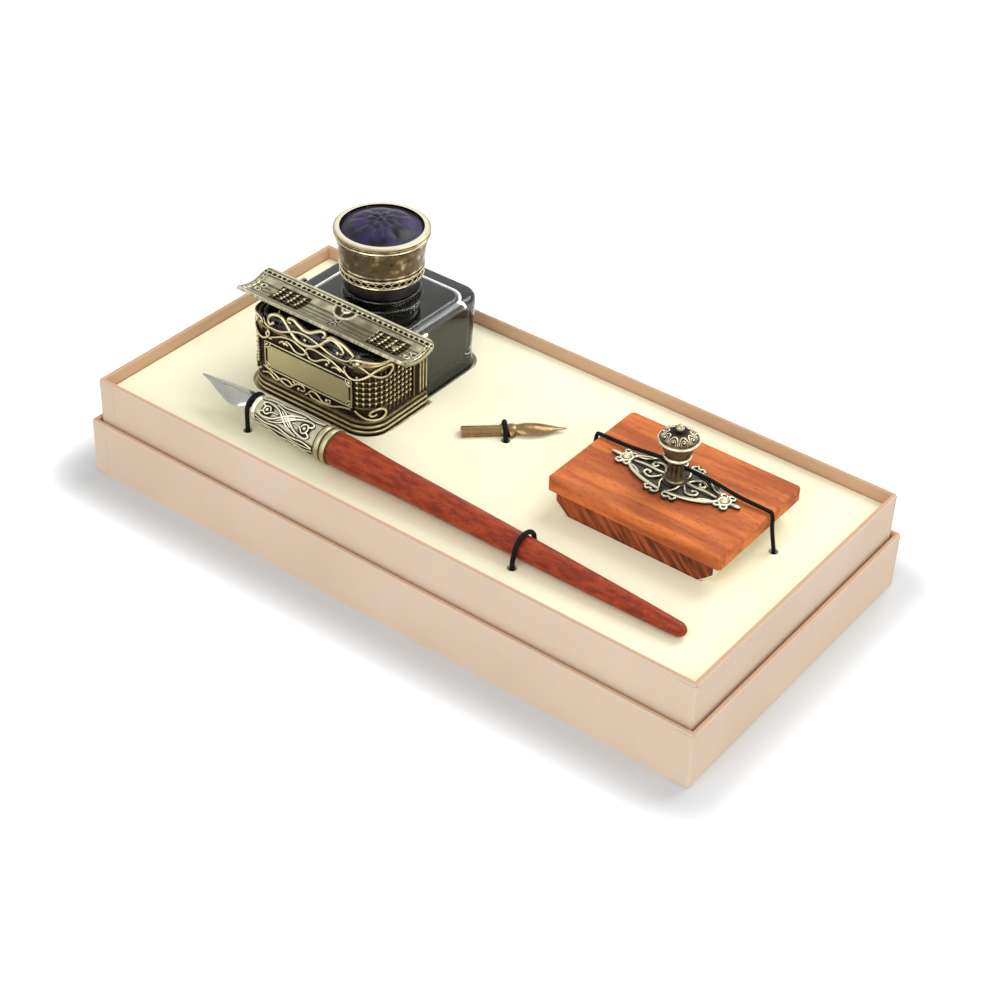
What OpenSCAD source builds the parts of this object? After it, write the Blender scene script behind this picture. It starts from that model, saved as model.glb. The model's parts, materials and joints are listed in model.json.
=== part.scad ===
// Boxed dip-pen writing set: two nested paper-covered trays, a card insert, an ink bottle in a cast metal
// surround, a dip pen, a spare nib and a rocker blotter, each tied down or sunk in its own recess.
// Millimetres, +Z up. The origin is the centre of the base tray's underside, +X runs along the pen.

/* [Trays] */
// Length of the inner tray, outside
tray_l = 260; // [250:1:300]
// Width of the inner tray, outside
tray_w = 127; // [125:1:160]
// Height of the inner tray, outside
tray_h = 38.8; // [36:0.2:50]
// Thickness of the paper-covered board of both trays
board_t = 1.8; // [1.2:0.1:3]
// Gap between the inner tray and the walls of the base tray
base_gap = 0.9; // [0.5:0.1:1.5]
// Height of the base tray
base_h = 23.1; // [15:0.1:32]

/* [Insert] */
// Drop from the inner tray's rim to the face of the insert
insert_drop = 5.2; // [2:0.1:8]
// Thickness of the insert's face board
face_t = 2.4; // [1.6:0.1:4]
// Gap between the insert and the inner tray's walls
insert_gap = 0.4; // [0.3:0.1:1]
// Thickness of the folded card that carries the face
riser_t = 1.6; // [1:0.1:2.5]
// Gap around the bottle and its surround in their recess
recess_gap = 1.2; // [0.6:0.1:2]
// Width of the glued lap of the bottle's cradle around the recess
cradle_lap = 6; // [4:0.5:8]
// Radius of the elastic ties
tie_r = 0.9; // [0.6:0.05:1.1]
// Radius of the punched holes that the ties pass through
tie_hole_r = 1.7; // [1.3:0.1:1.7]
// Radius of the knots under the face
knot_r = 2; // [1.8:0.1:2.4]

/* [Ink bottle] */
// Place of the bottle's centre along the tray
bottle_x = -63.8; // [-70:0.1:-60]
// Place of the bottle's centre across the tray
bottle_y = 10.8; // [6:0.1:12]
// Width of the glass body
bottle_w = 55.5; // [50:0.5:60]
// Depth of the glass body, front to back
bottle_d = 65.5; // [60:0.5:70]
// Height of the glass body
bottle_h = 32.5; // [28:0.5:40]
// Radius of the glass body's upright corners
bottle_corner_r = 8; // [6:0.5:10]
// Radius of the rounding round the glass body's top and bottom
bottle_edge_r = 2.4; // [1:0.1:3]
// Thickness of the glass walls and shoulder
glass_t = 3; // [2:0.1:4]
// Thickness of the glass floor
glass_floor = 4.5; // [3:0.1:6]
// Depth of the ink below the underside of the shoulder
ink_ullage = 1.5; // [0.5:0.1:8]
// Distance of the neck behind the body's centre
neck_back = 7.2; // [4:0.1:10]
// Outer radius of the neck
neck_r = 10.6; // [10:0.1:12]
// Radius of the bore through the neck
neck_bore_r = 8.5; // [6:0.1:9]
// Height of the neck's mouth above the shoulder
neck_h = 18.6; // [16:0.1:20]
// Radius of the round boss under the neck
boss_r = 14.5; // [13.5:0.1:15]
// Height of the boss above the shoulder
boss_h = 4.4; // [3:0.1:5]
// Height that the thread ridges stand out from the neck
thread_h = 0.2; // [0.1:0.05:0.3]

/* [Surround] */
// Thickness of the surround's cast wall
sleeve_t = 1.4; // [1:0.1:2]
// Gap between the surround and the glass
sleeve_gap = 0.2; // [0.1:0.1:0.5]
// Height of the surround's wall
sleeve_h = 31.8; // [30:0.1:31.9]
// Reach of the surround along the bottle's sides, from the bottle's front
sleeve_reach = 30; // [26:0.5:36]
// Height of the solid front panel below the openwork crest
panel_h = 29.3; // [27:0.1:29.6]
// Width of the openwork crest
crest_w = 43; // [38:0.5:44]
// Height of the crest above the front panel
crest_h = 9.1; // [8:0.1:10]
// Width of the crest's cast strands
strand_w = 1.7; // [1.3:0.1:2]
// Step of the base ridges from one to the next
ridge_step = 2.1; // [1.8:0.1:2.4]
// Height of each base ridge
ridge_h = 1.3; // [0.8:0.1:1.5]
// Reach of the lowest base ridge out of the wall
ridge_out = 1.05; // [0.6:0.05:1.2]
// Length of the blank name plate
plate_l = 38.6; // [30:0.2:39]
// Height of the blank name plate
plate_h = 9.2; // [7:0.1:9.6]
// Height of the name plate's lower edge above the surround's foot
plate_rise = 13; // [12:0.1:14]
// Thickness of the name plate
plate_t = 0.5; // [0.3:0.1:0.6]

/* [Pen rest] */
// Length of the pen rest's trough
rest_l = 80.4; // [70:0.1:84]
// Width of the trough
rest_w = 17.6; // [14:0.1:18]
// Radius of the trough's hollow
rest_hollow_r = 15.5; // [13:0.1:20]
// Thickness of the trough's plate
rest_t = 1.2; // [0.8:0.1:1.5]
// Gap between the trough and the top of the glass
rest_gap = 0.3; // [0.3:0.1:1]
// Distance of the trough's middle behind the front of the glass
rest_inset = 12.9; // [11:0.1:13.5]
// Radius of the trough's rounded corners
rest_corner_r = 3; // [1:0.1:4]
// Width of the posts that carry the trough
post_w = 3; // [2.6:0.1:3]
// Length of the posts
post_l = 6; // [4:0.5:8]
// Radius of the rivets that hold the trough to its posts
rivet_r = 0.9; // [0.6:0.1:1.1]

/* [Cap] */
// Outer radius of the plastic screw cap
liner_r = 14.3; // [13.8:0.1:14.6]
// Gap between the screw cap's bore and the neck
cap_gap = 1.4; // [1:0.05:1.6]
// Gap between the screw cap's lower edge and the boss
cap_lift_gap = 0.7; // [0.4:0.1:1.5]
// Thickness of the sealing disc
seal_t = 1.5; // [1:0.1:2]
// Thickness of the screw cap's top
liner_top_t = 2.6; // [2:0.1:3.5]
// Height of the screw cap's skirt that shows below the metal shell
skirt_show = 4.6; // [4:0.1:7]
// Radius of the metal shell at its lower band
shell_foot_r = 15.7; // [15.4:0.1:16]
// Radius of the metal shell's rim
shell_rim_r = 17.8; // [17.2:0.1:18.5]
// Height of the metal shell
shell_h = 19; // [18.6:0.1:21]
// Thickness of the deck that the cabochon lies on
deck_t = 1.8; // [1:0.1:2]
// Radius of the cabochon
stone_r = 15.2; // [13:0.1:15.4]
// Height of the cabochon
stone_h = 6.2; // [5:0.1:8]
// Height of the cabochon's upright girdle
stone_girdle = 2.6; // [1:0.1:3]

/* [Pen] */
// Place of the pen's axis across the tray
pen_y = -42.7; // [-44:0.1:-40]
// Place of the nib's point along the tray
pen_tip_x = -97.2; // [-104:0.1:-94]
// Length of the nib that stands out of the holder
nib_out = 26.9; // [24:0.1:29]
// Length of the nib's heel inside the holder
nib_in = 11; // [8:0.1:14]
// Greatest half width of the nib
nib_half_w = 5.6; // [4.8:0.1:6]
// Outer radius of the nib's rolled heel
heel_r = 3.3; // [3:0.1:3.4]
// Thickness of the nib's sheet
nib_t = 0.4; // [0.3:0.05:0.5]
// Sliding gap on each face of the nib's heel in its collet
heel_gap = 0.1; // [0.05:0.05:0.2]
// Wall of the collet around the nib's heel
collet_wall = 0.6; // [0.4:0.1:0.8]
// Length of the collet
collet_l = 18; // [16:0.5:24]
// Length of the cast grip, from its front bead to the collar
grip_l = 31; // [26:0.5:36]
// Radius of the grip's front bead
grip_front_r = 4.9; // [4.7:0.1:5.2]
// Radius of the grip before the collar
grip_rear_r = 6.1; // [5.6:0.1:6.4]
// Radius of the collar's rings
collar_r = 6.9; // [6.6:0.1:7.4]
// Length of the collar
collar_l = 5.4; // [4:0.1:6]
// Length of the wooden handle behind the collar
handle_l = 146.6; // [130:0.1:165]
// Greatest radius of the handle, just behind the collar
handle_r = 6.2; // [5.8:0.1:6.5]
// Radius of the handle a little before its rounded tail
handle_tail_r = 2.95; // [2.4:0.05:3.4]
// Radius of the handle's tenon inside the grip
tenon_r = 3.6; // [3:0.1:4]
// Distance of the rear tie behind the nib's point
rear_tie_at = 145.5; // [130:0.5:170]

/* [Spare nib] */
// Place of the spare nib's heel along the tray
spare_x = -11.7; // [-16:0.1:-8]
// Place of the spare nib's heel across the tray
spare_y = -0.3; // [-4:0.1:2]
// Angle of the spare nib on the insert
spare_angle = 42.8; // [35:0.1:50]
// Length of the spare nib
spare_l = 38.2; // [34:0.1:42]
// Distance of the spare nib's tie from its heel
spare_tie_at = 15.7; // [12:0.1:18]

/* [Blotter] */
// Place of the blotter's centre along the tray
blotter_x = 72.5; // [68:0.1:76]
// Place of the blotter's centre across the tray
blotter_y = 9.4; // [4:0.1:12]
// Length of the rocker under the board
rocker_l = 64.3; // [58:0.1:68]
// Depth of the rocker, front to back
rocker_d = 47.8; // [40:0.1:52]
// Radius of the rocker's curved sole, over the paper
sole_r = 45; // [44:0.5:50]
// Distance of the sole's lowest line below the face of the insert
sole_drop = 9.3; // [7:0.1:10]
// Height from the sole's lowest line to the underside of the board
rocker_h = 17.8; // [16.5:0.1:20]
// Thickness of the blotting paper
paper_t = 0.5; // [0.3:0.1:0.8]
// Length of the paper's ends clamped under the board
paper_flap = 12; // [8:0.5:16]
// Gap between the rocker and its slot in the insert
slot_gap = 0.3; // [0.3:0.1:1]
// Length of the blotter's top board
board_l = 69.6; // [66:0.1:76]
// Depth of the top board
board_d = 50.8; // [50:0.1:56]
// Thickness of the top board
top_board_t = 5.5; // [4:0.1:8]
// Cut across the top board's corners
board_clip = 0.9; // [0.6:0.1:4]
// Bevel along the top board's upper edge
board_bevel = 0.5; // [0.2:0.1:0.8]
// Length of the pierced plate under the knob, between its flowers
fretplate_l = 39.6; // [36:0.2:44]
// Width of the pierced plate's boat shape
fretplate_w = 16.8; // [14:0.2:20]
// Thickness of the pierced plate
fretplate_t = 1; // [0.8:0.1:1.5]
// Radius of the knob's head
knob_head_r = 7.3; // [6:0.1:8]
// Radius of the knob's foot
knob_foot_r = 3.5; // [3.3:0.1:4.2]
// Height of the knob above the pierced plate, without its finial
knob_h = 19.6; // [17:0.1:22]
// Radius of the finial bead on the knob
finial_r = 1.5; // [1:0.1:1.8]
// Radius of the screw under the knob
screw_r = 2; // [1.6:0.1:2.2]
// Running gap between the screw and its threaded insert
screw_gap = 0.05; // [0.03:0.01:0.1]
// Depth of the screw in the rocker
screw_in = 9; // [7:0.1:10]

/* [Hidden] */

$fn = 64;
eps = 0.01;
lie_gap = 0.3;          // a round piece that lies on the insert stays this far above it
tie_gap = 0.3;          // a tie stays this far from what it holds
bead_fn = 24;
weld = 0.02;            // overlap that joins crossing straps into one casting
tube_sides = 8;

// Trays and insert
base_l = tray_l + 2 * (base_gap + board_t);
base_w = tray_w + 2 * (base_gap + board_t);
tray_z = board_t;
rim_z = tray_z + tray_h;
face_z = rim_z - insert_drop;
seat_z = face_z - face_t;
tray_floor_z = tray_z + board_t;
insert_l = tray_l - 2 * (board_t + insert_gap);
insert_w = tray_w - 2 * (board_t + insert_gap);

// Bottle
bottle_front = bottle_y - bottle_d / 2;
shoulder_z = seat_z + bottle_h;
neck_y = bottle_y + neck_back;
neck_top_z = shoulder_z + neck_h;
boss_top_z = shoulder_z + boss_h;
cavity_r = bottle_corner_r - glass_t;
cavity_top_z = shoulder_z - glass_t;
ink_top_z = cavity_top_z - ink_ullage;
ink_film = 0.05;        // the ink's own solid stays this far inside the glass

// Surround and pen rest
sleeve_in = sleeve_gap;
sleeve_out = sleeve_gap + sleeve_t;
foot_out = sleeve_out + ridge_out;
sleeve_front = bottle_front - sleeve_out;
crest_mid = crest_w / 2;
rib_w = 1;
rib_step = 1.7;
rest_y = bottle_front + rest_inset;
rest_low_z = shoulder_z + rest_gap + rest_t;
rest_axis_z = rest_low_z + rest_hollow_r;
post_x = bottle_w / 2 + sleeve_gap + sleeve_t / 2;
rim_top_z = seat_z + sleeve_h;
rivet_foot = 0.4;       // metal left in the post under the rivet

// Cap
liner_z = boss_top_z + cap_lift_gap;
liner_bore_r = neck_r + cap_gap;
seal_z = neck_top_z;
liner_top_z = seal_z + seal_t + liner_top_t;
shell_z = liner_z + skirt_show;
shell_top_z = shell_z + shell_h;
deck_z = liner_top_z + deck_t;
stone_seat_r = stone_r + 0.2;
bezel_r = (shell_rim_r - stone_seat_r) / 2;

// Pen: measured along its axis from the nib's point
nib_l = nib_out + nib_in;
grip_at = nib_out;
collar_at = grip_at + grip_l;
handle_at = collar_at + collar_l;
pen_l = handle_at + handle_l;
collet_r = heel_r + heel_gap + collet_wall;
// The handle is a soft swell behind the collar, a long straight taper and a rounded tail
handle_swell = 7;
handle_lean_at = 0.76 * handle_l;
handle_lean_r = handle_tail_r + 0.7;
// The pen lies on the collar and on the rear of the handle
pen_tilt = atan((collar_r - handle_lean_r) / (handle_lean_at + collar_l / 2));
pen_axis_z = face_z + lie_gap + collar_r / cos(pen_tilt) + (collar_at + collar_l / 2) * sin(pen_tilt);

// Spare nib
spare_half_w = 3.6;
spare_heel_r = 2.4;

// Blotter
sole_z = face_z - sole_drop;
sole_axis_z = sole_z + sole_r;
board_z = sole_z + rocker_h;
board_top_z = board_z + top_board_t;
slot_half_l = sqrt(pow(sole_r + slot_gap, 2) - pow(sole_axis_z - face_z, 2));
fret_top_z = board_top_z + fretplate_t;
boat_r = (pow(fretplate_l / 2, 2) + pow(fretplate_w / 2, 2)) / fretplate_w;
knob_top_z = fret_top_z + knob_h;
knob_neck_r = 2.9;
fret_strap = 1.1;       // width of the plate's border and straps
fret_ground = 0.4;      // thickness of the plate's sunk ground inside its border
fret_sunk = 0.2;        // drop of the plate's tracery below its bosses
fret_boss_r = 2.3;
petal_r = 1.2;
pin_r = 0.6;
pin_head_r = 1.4;
insert_r = screw_r + screw_gap + 1.4;
screw_tip_z = board_z - paper_t - screw_in;

// Colours
plate_colour = [0.75, 0.72, 0.55];
paper_colour = [0.87, 0.77, 0.68];
card_colour = [0.98, 0.97, 0.85];
metal_colour = [0.55, 0.5, 0.38];
silver_colour = [0.72, 0.7, 0.62];
wood_colour = [0.62, 0.24, 0.12];
tie_colour = [0.08, 0.08, 0.08];
bronze_colour = [0.55, 0.42, 0.32];

// ---------- Helpers ----------

// Point on a smooth curve through pts: a Catmull-Rom span from pts[i] to pts[i + 1]
function span(pts, i, t) = let (
    n = len(pts) - 1,
    a = pts[max(i - 1, 0)], b = pts[i], c = pts[min(i + 1, n)], d = pts[min(i + 2, n)])
    0.5 * ((2 * b) + (c - a) * t + (2 * a - 5 * b + 4 * c - d) * t * t + (3 * b - a - 3 * c + d) * t * t * t);
function smooth(pts, steps) = concat(
    [for (i = [0 : len(pts) - 2], s = [0 : steps - 1]) span(pts, i, s / steps)],
    [pts[len(pts) - 1]]);
function unit(v) = v / norm(v);
function heading(pts, i) = unit(pts[min(i + 1, len(pts) - 1)] - pts[max(i - 1, 0)]);
function lerp(a, b, t) = a + (b - a) * t;

// Rectangle with round corners, in the XY plane
module rounded_rect(l, w, r) {
    square([l - 2 * r, w], center = true);
    square([l, w - 2 * r], center = true);
    for (x = [-1, 1], y = [-1, 1])
        translate([x * (l / 2 - r), y * (w / 2 - r)]) circle(r = r);
}

// Round bar between two points
module bar(a, b, r) {
    v = b - a;
    translate(a) rotate([0, acos(v[2] / norm(v)), atan2(v[1], v[0])]) cylinder(r = r, h = norm(v));
}

// Block with upright round corners and softened top and bottom edges
module soft_block(l, w, h, r, edge) {
    hull()
        for (x = [-1, 1], y = [-1, 1])
            translate([x * (l / 2 - r), y * (w / 2 - r), 0])
                rotate_extrude($fn = 40)
                    polygon(concat(
                        [[0, 0]],
                        [for (a = [-90 : 22.5 : 0]) [r - edge + edge * cos(a), edge + edge * sin(a)]],
                        [for (a = [0 : 22.5 : 90]) [r - edge + edge * cos(a), h - edge + edge * sin(a)]],
                        [[0, h]]));
}

// Round tube swept along a list of points, with flat ends. across is a direction that never follows the route
module tube(pts, r, across) {
    n = len(pts);
    rings = [for (i = [0 : n - 1]) let (
        d = heading(pts, i), u = unit(cross(d, across)), v = cross(d, u))
        for (k = [0 : tube_sides - 1])
            pts[i] + r * (u * cos(360 * k / tube_sides) + v * sin(360 * k / tube_sides))];
    sides = [for (i = [0 : n - 2], k = [0 : tube_sides - 1]) let (
        k2 = (k + 1) % tube_sides, a = i * tube_sides, b = a + tube_sides)
        [a + k, b + k, b + k2, a + k2]];
    first = [for (k = [0 : tube_sides - 1]) k];
    last = [for (k = [tube_sides - 1 : -1 : 0]) (n - 1) * tube_sides + k];
    polyhedron(rings, concat(sides, [first, last]), convexity = 6);
}

// Flat strand that follows a smooth route and tapers towards both ends
module strand(route, width) {
    pts = smooth(route, 4);
    n = len(pts) - 1;
    function half(i) = width / 2 * (0.55 + 0.45 * sin(180 * i / n));
    function side(i, s) = let (d = heading(pts, i)) pts[i] + s * half(i) * [-d[1], d[0]];
    polygon(concat([for (i = [0 : n]) side(i, 1)], [for (i = [n : -1 : 0]) side(i, -1)]));
    for (i = [0, n]) translate(pts[i]) circle(r = half(i) * 1.5, $fn = bead_fn / 2);
}

// Elastic tie: up through one hole, over what it holds, down through the other, knotted under the face
module tie(over, across) {
    n = len(over) - 1;
    first = over[0];
    last = over[n];
    // The knot is drawn up against the lower edge of its hole
    knot_z = seat_z - sqrt(pow(knot_r, 2) - pow(tie_hole_r, 2)) - 0.05;
    route = concat([[first[0], first[1], knot_z], [first[0], first[1], face_z]], over,
        [[last[0], last[1], face_z], [last[0], last[1], knot_z]]);
    color(tie_colour) {
        tube(route, tie_r, across);
        for (p = [first, last]) translate([p[0], p[1], knot_z]) sphere(r = knot_r, $fn = bead_fn);
    }
}

// Moves a piece from the pen's own frame, +X from the point to the tail, to where the pen lies
module on_pen() {
    translate([pen_tip_x, pen_y, pen_axis_z]) rotate([0, pen_tilt, 0]) children();
}
// Turns a profile of [distance, radius] pairs round the pen's axis
module turned(profile) {
    rotate([0, 90, 0]) rotate_extrude() polygon([for (p = profile) [p[1], p[0]]]);
}
function pen_point(s, y, z) = [
    pen_tip_x + s * cos(pen_tilt) + z * sin(pen_tilt),
    pen_y + y,
    pen_axis_z - s * sin(pen_tilt) + z * cos(pen_tilt)];

// Pressed nib along +X from its point. Stations are [distance, half width, drop of the edges, crest height]
module nib_sheet(stations, thick) {
    steps = 10;
    n = len(stations);
    function ring(st, inset) = let (
        reach = 2 * atan(st[2] / st[1]), roll = st[1] / sin(reach), r = roll - inset)
        [for (k = [0 : steps]) let (a = -reach + 2 * reach * k / steps)
            [st[0], r * sin(a), st[3] - roll + r * cos(a)]];
    pts = [for (st = stations) each concat(ring(st, 0), ring(st, thick))];
    m = 2 * (steps + 1);
    function at(i, k) = i * m + k;
    outer = [for (i = [0 : n - 2], k = [0 : steps - 1])
        [at(i, k), at(i, k + 1), at(i + 1, k + 1), at(i + 1, k)]];
    inner = [for (i = [0 : n - 2], k = [steps + 1 : m - 2])
        [at(i, k), at(i + 1, k), at(i + 1, k + 1), at(i, k + 1)]];
    edges = [for (i = [0 : n - 2]) each [
        [at(i, 0), at(i + 1, 0), at(i + 1, steps + 1), at(i, steps + 1)],
        [at(i, steps), at(i, m - 1), at(i + 1, m - 1), at(i + 1, steps)]]];
    ends = [for (k = [0 : steps - 1]) each [
        [at(0, k), at(0, steps + 1 + k), at(0, steps + 2 + k), at(0, k + 1)],
        [at(n - 1, k), at(n - 1, k + 1), at(n - 1, steps + 2 + k), at(n - 1, steps + 1 + k)]]];
    polyhedron(pts, concat(outer, inner, edges, ends), convexity = 8);
}

// ---------- Trays ----------

// Open tray with a rim rounded over the whole wall
module tray(l, w, h) {
    edge = board_t / 2;
    x = l / 2 - edge;
    y = w / 2 - edge;
    difference() {
        linear_extrude(h - edge) rounded_rect(l, w, edge);
        translate([0, 0, board_t]) linear_extrude(h)
            square([l - 2 * board_t, w - 2 * board_t], center = true);
    }
    translate([0, 0, h - edge]) {
        for (s = [-1, 1]) {
            bar([-x, s * y, 0], [x, s * y, 0], edge);
            bar([s * x, -y, 0], [s * x, y, 0], edge);
            for (t = [-1, 1]) translate([s * x, t * y, 0]) sphere(r = edge);
        }
    }
}

module base_tray() {
    color(paper_colour) tray(base_l, base_w, base_h);
}

module inner_tray() {
    color(paper_colour) translate([0, 0, tray_z]) tray(tray_l, tray_w, tray_h);
}

// ---------- Insert ----------

// Outline of the bottle and its surround, grown by a margin
module bottle_outline(margin) {
    translate([bottle_x, bottle_y]) {
        rounded_rect(bottle_w + 2 * margin, bottle_d + 2 * margin, bottle_corner_r + margin);
        surround_section(foot_out + margin, sleeve_reach + margin);
    }
}

function tie_holes() = concat(
    [for (e = [front_tie_route(), rear_tie_route(), spare_tie_route(), blotter_tie_route()])
        each [e[0], e[len(e) - 1]]]);

module insert_face() {
    color(card_colour) translate([0, 0, seat_z]) difference() {
        linear_extrude(face_t) square([insert_l, insert_w], center = true);
        translate([0, 0, -eps]) linear_extrude(face_t + 2 * eps) {
            bottle_outline(recess_gap);
            translate([blotter_x, blotter_y])
                square([2 * slot_half_l, rocker_d + 2 * slot_gap], center = true);
        }
        for (p = tie_holes()) translate([p[0], p[1], -eps]) cylinder(r = tie_hole_r, h = face_t + 2 * eps);
    }
}

module insert_riser() {
    color(card_colour) translate([0, 0, tray_floor_z]) linear_extrude(seat_z - tray_floor_z) difference() {
        square([insert_l, insert_w], center = true);
        square([insert_l - 2 * riser_t, insert_w - 2 * riser_t], center = true);
    }
}

// Folded channel glued under the recess: the bottle stands on it
module bottle_cradle() {
    front = bottle_front - foot_out - recess_gap - cradle_lap;
    back = bottle_y + bottle_d / 2 + recess_gap + cradle_lap;
    l = bottle_w + 2 * (foot_out + recess_gap + cradle_lap);
    color(card_colour) translate([bottle_x - l / 2, front, tray_floor_z]) difference() {
        cube([l, back - front, seat_z - tray_floor_z]);
        translate([riser_t, -eps, -eps])
            cube([l - 2 * riser_t, back - front + 2 * eps, seat_z - tray_floor_z - riser_t]);
    }
}

// ---------- Ink bottle ----------

module bottle_glass() {
    color([0.75, 0.85, 0.82, 0.4]) difference() {
        translate([bottle_x, bottle_y, seat_z])
            soft_block(bottle_w, bottle_d, bottle_h, bottle_corner_r, bottle_edge_r);
        translate([bottle_x, bottle_y, seat_z + glass_floor])
            soft_block(bottle_w - 2 * glass_t, bottle_d - 2 * glass_t, bottle_h - glass_floor - glass_t,
                cavity_r, bottle_edge_r);
        at_neck(cavity_top_z - 2) cylinder(r = neck_bore_r, h = glass_t + 3);
    }
}

// Neck with two thread rings, fused to its boss
module bottle_neck() {
    ring_r = 0.6;
    tube_h = neck_top_z - boss_top_z;
    color([0.75, 0.85, 0.82, 0.4]) at_neck(boss_top_z) difference() {
        union() {
            cylinder(r = neck_r, h = tube_h);
            for (drop = [3, 7]) translate([0, 0, tube_h - drop])
                rotate_extrude() translate([neck_r - ring_r + thread_h, 0]) circle(r = ring_r, $fn = bead_fn);
        }
        translate([0, 0, -eps]) cylinder(r = neck_bore_r, h = tube_h + 2 * eps);
    }
}

// Round boss with a rounded edge, fused to the shoulder under the neck
module bottle_boss() {
    edge = 0.8;
    color([0.75, 0.85, 0.82, 0.4]) at_neck(shoulder_z) rotate_extrude() polygon(concat(
        [[neck_bore_r, 0], [boss_r, 0]],
        [for (a = [0 : 15 : 90]) [boss_r - edge + edge * cos(a), boss_h - edge + edge * sin(a)]],
        [[neck_bore_r, boss_h]]));
}

module ink() {
    inset = glass_t + ink_film;
    floor_z = seat_z + glass_floor + ink_film;
    color([0.06, 0.06, 0.05]) translate([bottle_x, bottle_y, floor_z]) intersection() {
        soft_block(bottle_w - 2 * inset, bottle_d - 2 * inset, cavity_top_z - floor_z,
            cavity_r - ink_film, bottle_edge_r);
        translate([-bottle_w / 2, -bottle_d / 2, 0]) cube([bottle_w, bottle_d, ink_top_z - floor_z]);
    }
}

// ---------- Metal surround ----------

// The part of the bottle's outline that the surround follows: front, both corners and some of the sides
module surround_section(out, reach) {
    intersection() {
        rounded_rect(bottle_w + 2 * out, bottle_d + 2 * out, bottle_corner_r + out);
        translate([-bottle_w, -bottle_d / 2 - out]) square([2 * bottle_w, reach + out]);
    }
}
module surround_band(out) {
    difference() {
        surround_section(out, sleeve_reach);
        rounded_rect(bottle_w + 2 * sleeve_in, bottle_d + 2 * sleeve_in, bottle_corner_r + sleeve_in);
    }
}

// Routes of the crest's strands, from the left, as [across, up] from the panel's middle top
crest_routes = [
    // The long strand: it curls at the left, dips to the panel and curls again at the right
    [[-0.74, 0.38], [-0.84, 0.22], [-0.86, 0.48], [-0.68, 0.79], [-0.52, 0.7], [-0.37, 0.3], [-0.2, 0.02],
        [0.03, 0], [0.22, 0.24], [0.4, 0.64], [0.55, 0.8], [0.74, 0.62], [0.79, 0.44], [0.67, 0.36]],
    // The strand that crosses it twice
    [[-0.97, 0.42], [-0.91, 0.14], [-0.55, 0.12], [-0.3, 0.38], [-0.04, 0.48], [0.28, 0.32], [0.6, 0.12],
        [0.87, 0.18], [0.97, 0.42]],
    // The arch over the right curl
    [[0.42, 0.72], [0.55, 0.9], [0.74, 0.84], [0.97, 0.58], [0.92, 0.24]],
    // The free scroll on top
    [[-0.36, 0.66], [-0.41, 0.8], [-0.31, 0.91], [-0.12, 0.64], [0.04, 0.58], [0.2, 0.84], [0.34, 1],
        [0.38, 0.78]]];

module crest() {
    translate([0, sleeve_front - bottle_y + sleeve_t, panel_h]) rotate([90, 0, 0])
        linear_extrude(sleeve_t) offset(delta = weld)
            for (r = crest_routes) strand([for (p = r) [p[0] * crest_mid, p[1] * crest_h]], strand_w);
}

module bottle_surround() {
    color(metal_colour) translate([bottle_x, bottle_y, seat_z]) {
        difference() {
            union() {
                linear_extrude(sleeve_h) surround_band(sleeve_out);
                for (k = [0 : 2]) translate([0, 0, k * ridge_step])
                    linear_extrude(ridge_h) surround_band(sleeve_out + ridge_out * (1 - k / 4));
                // Bead along the rim
                translate([0, 0, sleeve_h - 1.4]) linear_extrude(1.4) surround_band(sleeve_out + 0.5);
                // Upright ribs that end the side panels
                for (k = [0 : 2]) intersection() {
                    linear_extrude(sleeve_h) surround_band(sleeve_out + 0.45);
                    translate([-bottle_w, sleeve_reach - bottle_d / 2 - rib_w - rib_step * k, 0])
                        cube([2 * bottle_w, rib_w, sleeve_h]);
                }
            }
            // The front panel is lower than the rim, so that the crest stands clear
            translate([-crest_mid, -bottle_d / 2 - foot_out - 1, panel_h])
                cube([crest_w, foot_out + 4, sleeve_h]);
            // Seat of the name plate
            translate([-plate_l / 2, sleeve_front - bottle_y - eps, plate_rise])
                cube([plate_l, plate_t + eps, plate_h]);
        }
        crest();
    }
}

// Plain plate with bitten corners
module name_plate() {
    bite = 1.3;
    middle_z = seat_z + plate_rise + plate_h / 2;
    color(plate_colour) translate([bottle_x, sleeve_front + plate_t, middle_z])
        rotate([90, 0, 0]) linear_extrude(plate_t) difference() {
            square([plate_l, plate_h], center = true);
            for (x = [-1, 1], y = [-1, 1])
                translate([x * plate_l / 2, y * plate_h / 2]) circle(r = bite, $fn = bead_fn);
        }
}

module pen_rest() {
    color(metal_colour) difference() {
        intersection() {
            translate([bottle_x, rest_y, rest_low_z - rest_t]) linear_extrude(rest_hollow_r)
                rounded_rect(rest_l, rest_w, rest_corner_r);
            translate([bottle_x - rest_l / 2, rest_y, rest_axis_z]) rotate([0, 90, 0])
                cylinder(r = rest_hollow_r + rest_t, h = rest_l);
        }
        translate([bottle_x - rest_l / 2 - 1, rest_y, rest_axis_z]) rotate([0, 90, 0])
            cylinder(r = rest_hollow_r, h = rest_l + 2);
        for (x = [-1, 1]) translate([bottle_x + x * post_x, rest_y, rest_low_z - 2 * rest_t])
            cylinder(r = rivet_r, h = 3 * rest_t, $fn = bead_fn);
    }
}

// The posts stand on the surround's side walls and carry the trough
module rest_posts() {
    color(metal_colour) difference() {
        for (x = [-1, 1]) translate([bottle_x + x * post_x - post_w / 2, rest_y - post_l / 2, rim_top_z])
            cube([post_w, post_l, rest_low_z - rim_top_z]);
        translate([bottle_x - rest_l / 2, rest_y, rest_axis_z]) rotate([0, 90, 0])
            cylinder(r = rest_hollow_r + rest_t, h = rest_l);
        for (x = [-1, 1]) translate([bottle_x + x * post_x, rest_y, rim_top_z + rivet_foot])
            cylinder(r = rivet_r, h = rest_low_z, $fn = bead_fn);
    }
}

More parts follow.
